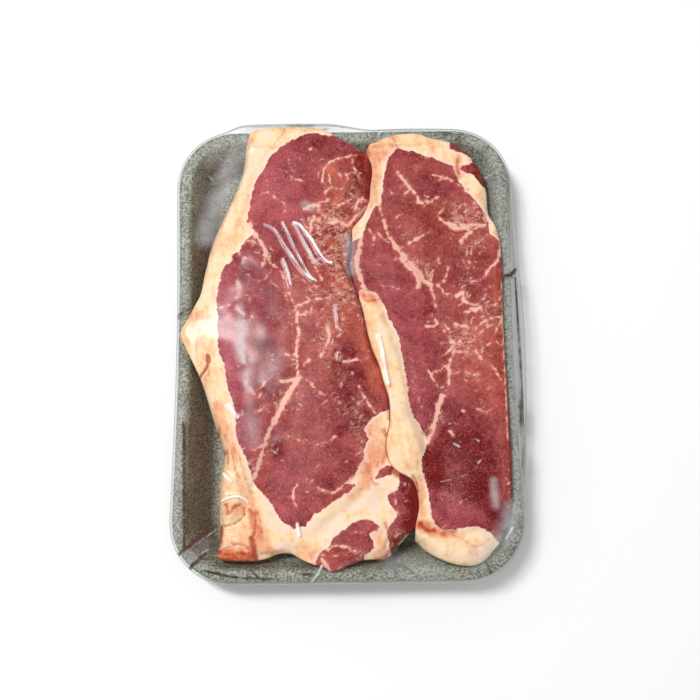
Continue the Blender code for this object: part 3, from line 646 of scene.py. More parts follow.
def steak_crags(points, marks):
    """Fine relief: noise as lumps in the fat, more where it is warm, and as strings in stringy meat, plus
    raised thin fat, less the cuts. Its heights are in millimetres until the last line."""
    in_fat = (marks["fat"] / 2).clip(0, 1)
    lumps = 0.5 * value_noise(points, 9 * MM, seed=3) + 0.3 * value_noise(points, 4 * MM, seed=5)
    lumps = lumps + 0.9 * marks["warm"] * value_noise(points, 3.4 * MM, seed=6)
    strings = 0.4 * value_noise(points, 3 * MM, seed=7) + 0.2 * value_noise(points, 1.5 * MM, seed=8)
    lean = 0.12 * value_noise(points, 5 * MM, seed=11)
    raised = 0.22 * (marks["vein"] + 0.5).clip(0, 1)
    flesh = in_fat * lumps + (1 - in_fat) * (lean + marks["fibre"] * strings + raised)
    return MM * (flesh - CUT_DEPTH * marks["cut"])


def patch(near, far, left, right, u, v):
    """A Coons patch: a grid of points between four curves, blended from the opposite pairs."""
    u, v = u[:, None, None], v[None, :, None]
    bottom, top = along(near, v[0, :, 0])[None], along(far, v[0, :, 0])[None]
    west, east = along(left, u[:, 0, 0])[:, None], along(right, u[:, 0, 0])[:, None]
    corners = ((1 - u) * (1 - v) * near[0] + (1 - u) * v * near[-1]
               + u * (1 - v) * far[0] + u * v * far[-1])
    return (1 - u) * bottom + u * top + (1 - v) * west + v * east - corners


def steak_shares(count):
    """Shares from 0 to 1 for a steak's grid, a little closer together at both ends."""
    even = np.linspace(0, 1, count)
    return 0.8 * even + 0.2 * (0.5 - 0.5 * np.cos(math.pi * even))


def steak_outline(near, far, left, right):
    """The steak's four sides as one closed loop, anticlockwise from the near left corner."""
    return np.vstack([near, right[1:], far[::-1][1:], left[::-1][1:]])


def steak_mesh(sides, lobes, seams, marking, rows, columns):
    """A steak: a grid of its top and a grid of its underside that meet along the outline."""
    flat = patch(*sides, steak_shares(rows), steak_shares(columns))
    marks = marking(flat)
    top, under = steak_heights(flat, steak_outline(*sides), lobes, seams, steak_crags(flat, marks))
    upper = np.arange(rows * columns).reshape(rows, columns)
    lower = upper.copy()
    lower[1:-1, 1:-1] = rows * columns + np.arange((rows - 2) * (columns - 2)).reshape(rows - 2, columns - 2)
    points = np.vstack([np.dstack([flat, top]).reshape(-1, 3),
                        np.dstack([flat, under])[1:-1, 1:-1].reshape(-1, 3)])
    both = {label: np.r_[v.ravel(), v[1:-1, 1:-1].ravel()] for label, v in marks.items()}
    return points, np.vstack([grid_faces(upper), grid_faces(lower, flip=True)]), both


# Raw beef, cut across its fibres and wet: purple to bright red lean with pale pink marbling, and cream
# fat that turns pink or orange where juice has soaked in. Its fibre bundles are about 1 mm across.
beef, tree, output = new_material("raw_beef_cut_across")
place = add_node(tree, "TexCoord").outputs["Object"]
marks = {label: add_node(tree, "Attribute", attribute_name=label).outputs["Fac"]
         for label in ("fat", "vein", "light", "hue", "fibre", "warm", "cut")}
# Noises about 2.5 mm (ragged), 9 mm (broad) and 0.9 mm (fine) across
ragged = add_node(tree, "TexNoise",
                  {"Vector": place, "Scale": 400.0, "Detail": 5.0, "Roughness": 0.6}).outputs["Fac"]
broad = add_node(tree, "TexNoise", {"Vector": place, "Scale": 110.0, "Detail": 3.0}).outputs["Fac"]
fine = add_node(tree, "TexNoise",
                {"Vector": place, "Scale": 1100.0, "Detail": 2.0, "Roughness": 0.6}).outputs["Fac"]
# Fat and thin fat, each with a ragged edge
fat_edge = add_node(tree, "Math", {0: ragged, 1: 3.0, 2: marks["fat"]}, operation="MULTIPLY_ADD").outputs[0]
fat_mask = add_node(tree, "MapRange", {"Value": fat_edge, "From Min": 1.2, "From Max": 1.8},
                    interpolation_type="SMOOTHSTEP").outputs[0]
vein_edge = add_node(tree, "Math", {0: ragged, 1: 4.2, 2: marks["vein"]}, operation="MULTIPLY_ADD").outputs[0]
vein_mask = add_node(tree, "MapRange", {"Value": vein_edge, "From Min": 1.95, "From Max": 2.85},
                     interpolation_type="SMOOTHSTEP").outputs[0]
halo = add_node(tree, "MapRange", {"Value": vein_edge, "From Min": 0.8, "From Max": 2.4,
                                   "To Max": 0.5}).outputs[0]
# Marbling: short dashes about 1 mm wide lying three ways, thicker on the ground in stringy meat
rough_place = add_node(tree, "TexNoise", {"Vector": place, "Scale": 700.0, "Detail": 2.0}).outputs["Color"]
rough_place = add_node(tree, "VectorMath", {0: rough_place, 1: (0.0022,) * 3, 2: place},
                       operation="MULTIPLY_ADD").outputs[0]
patches = add_node(tree, "TexNoise", {"Vector": place, "Scale": 60.0, "Detail": 2.0}).outputs["Fac"]
dense = add_node(tree, "Math", {0: marks["fibre"], 1: 0.3, 2: patches}, operation="MULTIPLY_ADD").outputs[0]
pale = vein_mask
for turned, size, rarity in ((0.6, 480.0, 0.94), (-0.5, 560.0, 0.98), (1.4, 440.0, 1.0)):
    laid = add_node(tree, "Mapping", {"Vector": rough_place, "Rotation": (0, 0, turned),
                                      "Scale": (3, 1, 1)}, vector_type="TEXTURE").outputs[0]
    cells = add_node(tree, "TexVoronoi", {"Vector": laid, "Scale": size})
    dash = add_node(tree, "MapRange", {"Value": cells.outputs["Distance"], "From Min": 0.2,
                                       "From Max": 0.34, "To Min": 1.0, "To Max": 0.0}).outputs[0]
    chance = add_node(tree, "SeparateColor", {"Color": cells.outputs["Color"]}).outputs[0]
    chance = add_node(tree, "Math", {0: chance, 1: 0.5, 2: dense}, operation="MULTIPLY_ADD").outputs[0]
    chance = add_node(tree, "MapRange", {"Value": chance, "From Min": rarity, "From Max": rarity + 0.12,
                                         "To Max": 0.6}).outputs[0]
    dash = add_node(tree, "Math", {0: dash, 1: chance}, operation="MULTIPLY").outputs[0]
    pale = add_node(tree, "Math", {0: pale, 1: dash}, operation="MAXIMUM").outputs[0]
specks = add_node(tree, "MapRange", {"Value": fine, "From Min": 0.6, "From Max": 0.78,
                                     "To Max": 0.2}).outputs[0]
pale = add_node(tree, "Math", {0: pale, 1: specks}, operation="MAXIMUM").outputs[0]
# Strings: pale lines where a stretched noise crosses its middle value, only in stringy meat
laid = add_node(tree, "Mapping", {"Vector": rough_place, "Rotation": (0, 0, 0.25),
                                  "Scale": (2.6, 1, 1)}, vector_type="TEXTURE").outputs[0]
strings = add_node(tree, "TexNoise",
                   {"Vector": laid, "Scale": 420.0, "Detail": 3.0, "Distortion": 0.4}).outputs["Fac"]
strings = add_node(tree, "Math", {0: strings, 1: 0.5}, operation="SUBTRACT").outputs[0]
strings = add_node(tree, "Math", {0: strings}, operation="ABSOLUTE").outputs[0]
strings = add_node(tree, "MapRange", {"Value": strings, "From Min": 0.01, "From Max": 0.05,
                                      "To Min": 0.5, "To Max": 0.0}).outputs[0]
stringy = add_node(tree, "MapRange", {"Value": dense, "From Min": 0.62, "From Max": 0.8}).outputs[0]
strings = add_node(tree, "Math", {0: strings, 1: stringy}, operation="MULTIPLY").outputs[0]
pale = add_node(tree, "Math", {0: pale, 1: strings}, operation="MAXIMUM").outputs[0]
# Lean: lightness and hue from the marks, mottled, with fine grain
light = marks["light"]
for texture, share in ((broad, 1.1), (ragged, 0.9), (fine, 1.0)):
    light = add_node(tree, "Math", {0: texture, 1: share, 2: light}, operation="MULTIPLY_ADD").outputs[0]
light = add_node(tree, "Math", {0: light, 1: 1.48}, operation="SUBTRACT", use_clamp=True).outputs[0]
purple = add_node(tree, "Mix", {0: light, 6: colour("6c0610"), 7: colour("bd5c65")}, data_type="RGBA")
orange = add_node(tree, "Mix", {0: light, 6: colour("7c110b"), 7: colour("cd6b54")}, data_type="RGBA")
turn = add_node(tree, "Math", {0: ragged, 1: 0.8, 2: marks["hue"]}, operation="MULTIPLY_ADD").outputs[0]
turn = add_node(tree, "Math", {0: turn, 1: 0.4}, operation="SUBTRACT", use_clamp=True).outputs[0]
lean = add_node(tree, "Mix", {0: turn, 6: purple.outputs[2], 7: orange.outputs[2]}, data_type="RGBA")
lean = add_node(tree, "Mix", {0: halo, 6: lean.outputs[2], 7: colour("cc6a5e")}, data_type="RGBA")
# Fat: cream, then pink, then orange-red, and pinker beside the lean
laid = add_node(tree, "Mapping", {"Vector": rough_place, "Rotation": (0, 0, 0.15),
                                  "Scale": (1, 6, 1)}, vector_type="TEXTURE").outputs[0]
streaks = add_node(tree, "TexNoise", {"Vector": laid, "Scale": 420.0, "Detail": 3.0}).outputs["Fac"]
warmth = marks["warm"]
for texture, share in ((broad, 0.7), (ragged, 0.6), (streaks, 0.7)):
    warmth = add_node(tree, "Math", {0: texture, 1: share, 2: warmth}, operation="MULTIPLY_ADD").outputs[0]
warmth = add_node(tree, "Math", {0: warmth, 1: 1.0}, operation="SUBTRACT", use_clamp=True).outputs[0]
fat_colour = add_node(tree, "ValToRGB", {"Fac": warmth})
ramp = fat_colour.color_ramp
ramp.elements[0].color = colour("fbdcc6")
ramp.elements[1].position, ramp.elements[1].color = 1.0, colour("d8502e")
for position, code in ((0.14, "fbdcae"), (0.32, "f5c79c"), (0.55, "eda984"), (0.78, "de7a50")):
    ramp.elements.new(position).color = colour(code)
beside = add_node(tree, "MapRange", {"Value": fat_edge, "From Min": 4.0, "From Max": 1.6,
                                     "To Max": 0.7}).outputs[0]
thick_fat = add_node(tree, "Mix", {0: beside, 6: fat_colour.outputs[0], 7: colour("fddfcf")},
                     data_type="RGBA")
thin = add_node(tree, "Math", {0: pale, 1: fat_mask}, operation="SUBTRACT", use_clamp=True).outputs[0]
fat_tint = add_node(tree, "Mix", {0: thin, 6: thick_fat.outputs[2], 7: colour("f2bba8")}, data_type="RGBA")
pale = add_node(tree, "Math", {0: pale, 1: fat_mask}, operation="MAXIMUM").outputs[0]
flesh = add_node(tree, "Mix", {0: pale, 6: lean.outputs[2], 7: fat_tint.outputs[2]}, data_type="RGBA")
# Blood in cuts and creases
blood_edge = add_node(tree, "Math", {0: ragged, 1: 1.2, 2: marks["cut"]}, operation="MULTIPLY_ADD").outputs[0]
bloody = add_node(tree, "MapRange", {"Value": blood_edge, "From Min": 0.7, "From Max": 1.5,
                                     "To Max": 0.85}).outputs[0]
blood = add_node(tree, "Mix", {0: fat_mask, 6: colour("760b08"), 7: colour("ab361b")}, data_type="RGBA")
flesh = add_node(tree, "Mix", {0: bloody, 6: flesh.outputs[2], 7: blood.outputs[2]}, data_type="RGBA")
grain = add_node(tree, "Math", {0: pale, 1: 0.35, 2: fine}, operation="MULTIPLY_ADD").outputs[0]
bumps = add_node(tree, "Bump", {"Height": grain, "Strength": 0.5, "Distance": 0.35 * MM}).outputs[0]
shader = add_node(tree, "BsdfPrincipled",
                  {"Base Color": flesh.outputs[2], "Roughness": 0.42, "Specular IOR Level": 0.1,
                   "Normal": bumps, "Subsurface Weight": 0.25, "Subsurface Radius": (1.0, 0.35, 0.2),
                   "Subsurface Scale": 2 * MM}).outputs[0]
tree.links.new(shader, output.inputs["Surface"])


def left_marks(points):
    """The left steak's marks. Its fat is the ground outside the lean edge, less the lean islands."""
    fat = depth_within(points, np.array(LEFT_LEAN_EDGE + LEFT_OUTSIDE) * MM, FAT_REACH)
    for island in LEFT_ISLANDS:
        fat = np.minimum(fat, -depth_within(points, np.array(island) * MM, FAT_REACH))
    return beef_marks(points, fat, LEFT_VEINS, LEFT_CUTS, LEFT_TONES, LEFT_FIBRES, LEFT_WARMTHS)


# The cleft gapes a little round y 44, where the film and the tray show through it
CLEFT_OPENING = 1.5 * MM
OPENING_MIDDLE, OPENING_HALF = 44, 13
open_share = (1 - ((CLEFT[:, 1] / MM - OPENING_MIDDLE) / OPENING_HALF) ** 2).clip(0, 1)
left_cleft = CLEFT - np.outer(CLEFT_HALF_GAP + CLEFT_OPENING * open_share, (1, 0))
left_sides = [smooth_path(side, 6) for side in (
    LEFT_NEAR_SIDE[::-1],
    np.vstack([LEFT_FAR_SIDE[:-1], left_cleft[:1]]),
    LEFT_FAT_SIDE,
    np.vstack([left_cleft, LEFT_NEAR_SIDE[:1]])[::-1],
)]
points, quads, both = steak_mesh(left_sides, LEFT_LOBES, LEFT_SEAMS, left_marks, rows=300, columns=140)
add_piece("sirloin_left", points, quads, beef, both, "steak_left")

# Right steak
# The same cut from further along the loin, so it is narrower. Its fat lies in a strip against the cleft
# and in a folded lump at the near end, and juice has pooled over its near right corner.
RIGHT_FAR_SIDE = np.array([(13, 102.5), (24, 107.3), (36, 108.2), (44, 105.6), (54, 103), (63, 97.5)]) * MM
RIGHT_LEAN_SIDE = np.array([
    (63, 97.5), (69, 88), (71, 77), (71.5, 66), (75.5, 56), (77, 42), (76.5, 20), (76.5, 0), (77, -20),
    (77.5, -42), (77.5, -64), (76, -80), (70, -95),
]) * MM
RIGHT_NEAR_SIDE = np.array([(70, -95), (61, -103.5), (50, -104), (38, -99), (31.5, -93)]) * MM
RIGHT_LOBES = (
    ([(16, 88), (14, 74), (8, 58)], 8, 1.4),
    ([(15, 12), (18, -6), (23, -24), (26, -40), (30, -54)], 11, 2.8),
    ([(31, -50), (33, -60)], 13, 1.8),
    ([(38, -78), (40, -90)], 8, 1.2),
    ([(46, -98), (60, -98)], 10, 2.2),
    ([(38, 82), (48, 50)], 26, 1.8),
    ([(26, 34), (30, 8), (36, -20)], 15, 1.6),
    ([(60, 10), (60, -30)], 20, 1.8),
    ([(60, -60), (58, -80)], 17, 2.4),
)
RIGHT_SEAMS = (
    ([(17, 102), (18, 78), (22, 56), (38, 34), (46, 10), (49, -6), (44, -32), (37, -48)], 1.0),
    ([(13, 30), (22, 8), (29, -14), (33, -36), (38, -52)], 1.0),
    ([(34, -66), (38, -84), (46, -92), (58, -90), (68, -88)], 1.0),
    ([(26, 103), (48, 92), (62, 76), (70, 54)], 0.8),
)
RIGHT_FAT = (
    [(5, 99), (9, 115), (53, 115), (53, 103.5), (53, 99.5), (56, 98), (60, 97.3), (63.5, 95.3), (64.6, 92.6),
     (62, 91), (58.5, 90.6), (57.8, 88), (60, 86.8), (63.5, 86), (66, 83), (69, 80), (71, 78), (80, 78),
     (80, 60), (84, 56), (84, 44), (78, 44), (76, 51), (73.6, 53), (71.5, 54.5), (70.6, 58), (71.2, 61),
     (69.7, 65), (67, 69.5), (64, 73), (61, 76.5), (58, 80.5), (56.4, 83), (55.5, 87), (54, 90.5), (50, 92),
     (45, 94.5), (40, 96), (35, 98), (31, 99), (27, 100.2), (25, 98), (22.3, 95), (21, 90.9), (19.8, 84),
     (18.6, 76), (18.2, 71), (16.6, 69.6), (14.8, 68.6), (12.7, 64.5), (10.4, 59.5), (8.9, 54), (5, 52),
     (-3, 52), (-3, 62), (5, 66), (9, 84)],
    [(7.2, 27), (14.3, 26.5), (17, 22.6), (19.8, 17), (20.4, 13), (22.8, 9.4), (25.2, 4.7), (26.4, -2.5),
     (27.4, -7.9), (28, -14), (29.2, -18.9), (29.3, -27.3), (31.5, -34.8), (34, -38), (35.5, -41),
     (37.5, -43.5), (38, -47), (37.5, -50), (36, -53), (35, -56), (35, -60), (36.5, -65), (38, -70),
     (38.5, -76), (39, -82), (40.6, -85.4), (45, -88), (50, -88), (56, -87), (61, -87), (66, -89.5),
     (69.5, -93.5), (72, -97), (70, -112), (26, -112), (24, -88), (28, -76), (24, -64), (16, -56),
     (13, -44), (15, -30), (12, -14), (8, -2), (5, 12)],
)
RIGHT_VEINS = (
    ([(17.6, 77), (17, 72), (18.3, 66), (19.5, 61), (21, 56), (24, 50.5), (27, 46.5)], 0.9),
    ([(25, 48.5), (29, 43.4), (33, 38.4), (37, 33.6), (40.6, 29.6)], 1.35),
    ([(27.5, 42.5), (30.5, 38.5), (34, 34.6), (36, 30.5), (35.2, 27.6)], 1.25),
    ([(41.5, 28.6), (43, 23), (44, 18)], 0.45),
    ([(41, 29.6), (46, 29.4), (48, 31), (49.6, 34.6), (50.5, 38), (51.6, 37.6)], 0.45),
    ([(41.4, 30), (42.8, 34.4)], 0.3),
    ([(44.6, 28.8), (47, 27), (48, 25), (50.4, 24.6)], 0.6),
    ([(17.5, 58), (16, 56.3), (18.4, 53.6), (21.4, 51)], 0.6),
    ([(12, 57.3), (14.3, 53.9), (14.1, 50)], 0.5),
    ([(8.1, 53.5), (7.1, 48.2), (5.6, 42.4), (6, 38), (7.3, 33.2), (9.6, 27.9)], 1.3),
    ([(22.8, 41.4), (25.6, 42.4), (27.6, 42.4)], 0.35),
    ([(14.6, 40), (17.6, 39.4)], 0.3),
    ([(20.4, 29), (23.6, 27.8), (27.2, 26.4)], 0.35),
    ([(17.4, 29.4), (18.8, 28.6)], 0.4),
    ([(26.6, 86.6), (29.5, 82.6), (31, 80), (34, 77), (36, 74), (36.6, 71), (38.4, 70.4)], 0.75),
    ([(31, 80), (28, 79)], 0.4),
    ([(38.6, 68), (41, 70), (43.5, 72), (46.6, 73.4)], 0.5),
    ([(38, 71.4), (43.4, 71)], 0.4),
    ([(43.6, 84.8), (50, 84), (53, 83)], 0.3),
    ([(47.4, 82.2), (49, 83.2), (52, 83), (54, 81.9), (58, 79.5), (61, 76)], 0.5),
    ([(55, 66), (57, 69), (59.6, 70)], 0.45),
    ([(45.4, 63), (47, 65.4), (48, 66.6)], 0.55),
    ([(46, 63.5), (49, 60.6), (54, 59.4), (58, 58.8), (62, 59.2), (69, 59.6)], 0.8),
    ([(51, 59.6), (54, 57.8), (57, 57.4), (60.6, 58)], 1.5),
    ([(61, 62), (63, 63)], 0.5),
    ([(64.4, 64), (66, 65.2)], 0.3),
    ([(31.4, 50), (34, 51.6), (37, 53)], 0.75),
    ([(37, 53), (40, 54.5), (42, 56)], 0.45),
    ([(56.8, 50.4), (59, 53), (62, 55.8)], 1.0),
    ([(62, 55.8), (65, 58), (69.4, 60)], 0.6),
    ([(67, 51.4), (70, 54.5)], 0.3),
    ([(25.8, 63.4), (27.4, 65)], 0.5),
    ([(23, 77.6), (23.4, 76)], 0.5),
    ([(34.4, 88.2), (36.6, 89.6)], 0.35),
    ([(30, 75.6), (33, 78)], 0.4),
    ([(76.6, 49), (75.6, 44), (73.8, 40), (71, 38), (69, 35)], 0.8),
    ([(78, 45), (77.4, 41), (77.6, 37)], 0.5),
    ([(57.6, 41.4), (58.6, 38), (60, 37)], 0.4),
    ([(60.6, 41), (61.6, 39.4), (63, 37.6)], 0.4),
    ([(45.4, 42), (46, 39.8)], 0.5),
    ([(53, 28.4), (55, 26.8)], 0.4),
    ([(54.4, 23.6), (57, 24.6), (57, 22), (58.4, 20.2)], 1.2),
    ([(58, 20.4), (61, 19), (64, 18.6)], 0.8),
    ([(60.4, 17), (62.4, 16.4), (64.4, 17.4)], 1.5),
    ([(56, 15.8), (58.4, 15), (60.6, 15.6)], 0.4),
    ([(65, 16.5), (66.6, 14.4), (66, 11.6)], 0.5),
    ([(60, 31), (64, 31), (67, 32), (68.2, 33.4)], 0.45),
    ([(68.2, 26.6), (71, 28), (73.4, 27.8)], 0.55),
    ([(75.6, 26), (74.6, 21.4), (72, 18.8)], 0.5),
    ([(42, 14), (43.6, 11.5), (44, 9)], 0.5),
    ([(39, 8.8), (42, 8.5), (44.5, 10)], 0.8),
    ([(47, 10.4), (49, 7.6), (50, 6)], 0.55),
    ([(52.6, 9.6), (55, 8.2), (58, 8)], 0.75),
    ([(46.6, 8), (48.6, 4.6), (51, 1.6), (52, -1)], 0.4),
    ([(50.6, 0.6), (53, 1.2), (55.4, 0.4)], 0.7),
    ([(52, -1), (50, -3), (48, -5), (46, -6)], 0.6),
    ([(51.5, -3), (55, -4.4), (59, -4.3), (62, -4)], 0.55),
    ([(62, -4), (64, -7), (66, -9)], 0.7),
    ([(52, -1), (51.4, -5), (50, -8), (49.2, -12), (49, -18), (48, -22), (45.6, -27)], 0.6),
    ([(46, -10), (48.4, -12), (49.2, -15)], 0.45),
    ([(52, -14.6), (56, -13.8), (60, -15.6), (63, -15)], 0.4),
    ([(68, -11), (71, -12.4), (72.5, -16), (75, -20)], 0.55),
    ([(38.6, -12.4), (41, -16), (43, -20), (44.5, -23)], 0.55),
    ([(41, -14), (44, -13.4), (46, -12)], 0.4),
    ([(36.6, -8), (38.4, -12)], 0.3),
    ([(45.6, -25), (43.6, -31), (42.5, -36), (40.4, -41), (38.2, -47)], 1.3),
    ([(62, -32), (64.4, -33), (66.4, -33.6)], 0.6),
    ([(55, -33), (57.4, -32.4)], 0.3),
    ([(48.2, -42.2), (50.6, -44.4)], 0.7),
    ([(60.4, 30), (66, 28.6)], 0.25),
    ([(62, 6), (66, 10), (72, 12.4), (76.6, 13)], 0.6),
    ([(64, 4), (68, 8), (72, 9)], 0.35),
    ([(72, 5), (74.4, 9.6), (75.6, 13)], 0.5),
    ([(76.3, 30), (76.2, 15), (76, 1.3), (75.9, -27.7), (75.8, -46.7)], 0.5),
)
RIGHT_CUTS = (
    ([(24.4, 105.6), (26, 102), (28, 98.6)], 0.7, 0.5),
    ([(10.6, 102), (12, 97.6)], 1.6, 0.5),
    ([(32, 84.4), (34, 82), (36.6, 82)], 1.7, 0.4),
    ([(37, 64), (40, 61)], 2.4, 0.35),
    ([(56.6, 94), (57, 88), (56.8, 84)], 0.9, 0.5),
    ([(60, 81), (61.6, 78)], 0.8, 0.4),
    ([(9.6, 21.8), (13, 21.6), (17, 22.6), (19, 22)], 0.6, 0.6),
    ([(36, -42.6), (38, -43.4), (39.6, -42)], 1.3, 0.7),
    ([(30.6, -63.4), (32.4, -66), (33, -70)], 0.9, 0.8),
    ([(34, -85.4), (37, -88.6), (40, -88.4)], 1.3, 0.9),
    ([(41, -85), (45, -88.6), (50, -88.8)], 1.0, 0.6),
    ([(46, -90.5), (52, -91.5), (56, -94.5), (60, -96), (65, -93)], 0.7, 0.35),
    ([(64, -106), (66, -101), (69, -98.6)], 0.9, 0.7),
    ([(77, 50), (77.6, 44)], 0.9, 0.4),
    ([(76.8, 20), (77, -10), (77, -50), (76.4, -84)], 0.8, 0.7),
)
RIGHT_TONES = (
    ([(30, 92), (45, 90)], 12, 0.5, 0.15),
    ([(35, 80), (40, 60), (55, 50)], 20, 0.44, 0.5),
    ([(24, 84), (23, 72), (30, 60)], 10, 0.46, 0.3),
    ([(52, 76), (60, 68)], 9, 0.56, 0.4),
    ([(40, 79), (46, 77)], 8, 0.3, 0.1),
    ([(36, 66), (44, 60)], 8, 0.24, 0.6),
    ([(40, 67), (46, 66)], 4, 0.3, 0.9),
    ([(12, 44), (20, 34), (26, 24)], 12, 0.52, 0.1),
    ([(28, 22), (34, 8), (36, -12), (38, -26)], 14, 0.48, 0.12),
    ([(56, 40), (60, 30)], 12, 0.36, 0.3),
    ([(50, 22), (56, 10)], 12, 0.44, 0.4),
    ([(66, 2), (66, -18), (64, -30)], 14, 0.72, 0.6),
    ([(75, 34), (75.6, 0), (75, -40)], 6, 0.4, 0.95),
    ([(62, -30), (70, -44)], 12, 0.52, 0.4),
    ([(50, -32), (50, -46)], 10, 0.16, 0.2),
    ([(56, -50), (60, -62), (66, -78)], 19, 0.04, 0.15),
    ([(39, -54), (40, -64)], 8, 0.0, 0.45),
    ([(46, -78), (58, -84)], 9, 0.5, 0.0),
    # Painted highlight: a pale streak on the dark lean at the near right, standing for light caught by the
    # film
    ([(68, -66), (69, -77)], 4, 0.45, 0.2),
    ([(73, -50), (74, -70)], 5, 0.42, 0.5),
    ([(72, -84), (73, -92)], 6, 0.16, 0.2),
    ([(55, 102), (60, 101), (64, 97)], 5, 0.26, 0.6),
    ([(67, 92), (68, 84), (69, 80)], 8, 0.0, 0.5),
    ([(33, -34), (37, -40)], 7, 0.5, 0.1),
)
RIGHT_FIBRES = (
    ([(60, 22), (66, 8), (60, -2)], 16, 0.5),
    ([(46, 14), (50, 0)], 8, 0.7),
    ([(38, 33), (34, 38)], 7, 0.7),
    ([(60, 62), (62, 46)], 14, 0.4),
    ([(33, 82), (37, 74)], 8, 0.5),
    ([(43, -36), (38, -46)], 6, 0.8),
)
RIGHT_WARMTHS = (
    ([(8, 101), (14, 100), (18, 100)], 8, 0.42),
    ([(10, 102), (11, 96)], 4, 0.75),
    ([(24, 106), (27, 101)], 4, 0.5),
    ([(30, 103), (48, 99)], 6, 0.24),
    ([(16, 92), (14, 80), (12, 70)], 5, 0.46),
    ([(4, 62), (6, 56)], 5, 0.3),
    ([(58, 88), (66, 75), (70, 66)], 6, 0.24),
    ([(57, 94), (57, 86)], 3, 0.6),
    ([(76, 55), (78, 48)], 5, 0.5),
    ([(9, 26), (11, 8), (16, -10)], 5, 0.36),
    ([(7, 26.4), (13, 25.4), (17, 22)], 4.4, 0.74),
    ([(18, -38), (18, -52)], 4, 0.35),
    ([(34, -86), (40, -88), (47, -89)], 4, 0.75),
    ([(50, -92), (58, -96)], 5, 0.3),
    ([(40, 100), (52, 94)], 5, 0.26),
    ([(34, -66), (34.6, -80)], 4, 0.42),
)


def right_marks(points):
    """The right steak's marks. Its fat is the two closed regions."""
    fat = np.max([depth_within(points, np.array(region) * MM, FAT_REACH) for region in RIGHT_FAT], axis=0)
    return beef_marks(points, fat, RIGHT_VEINS, RIGHT_CUTS, RIGHT_TONES, RIGHT_FIBRES, RIGHT_WARMTHS)


right_sides = [smooth_path(side, 6) for side in (
    RIGHT_NEAR_SIDE[::-1],
    RIGHT_FAR_SIDE,
    np.vstack([RIGHT_FAR_SIDE[:1], CLEFT + (CLEFT_HALF_GAP, 0), RIGHT_NEAR_SIDE[-1:]])[::-1],
    RIGHT_LEAN_SIDE[::-1],
)]
points, quads, both = steak_mesh(right_sides, RIGHT_LOBES, RIGHT_SEAMS, right_marks, rows=300, columns=108)
add_piece("sirloin_right", points, quads, beef, both, "steak_right")

# Stretch film
# Clear film, about 0.015 mm thick, pulled over the filled tray by hand, drawn down its walls and
# heat-tacked under the base. It clings to the wet meat, creases where it is pulled, and stands loose
# off the right side. Juice has crept along the folds between film and foam.
FILM_CELL = 1 * MM
FILM_CLEARANCE = 0.3 * MM
FILM_STEPS = 2600
FILM_BULGE = 5 * MM
FILM_BULGE_REACH = 74 * MM
FILM_HUMP = 3.2 * MM
FILM_HUMP_ENDS = (-62 * MM, 16 * MM)
FILM_HUMP_SLOPES = (12 * MM, 24 * MM)
CREST_STEPS = 120
FILM_ACROSS, FILM_DOWN = 210, 280
RELIEF_MARGIN = 12 * MM
RELIEF_LIFT = 0.2
RIM_LIFT = 0.5 * MM
RIM_FADE_RINGS = 6
CREASE_HEIGHT = 0.6
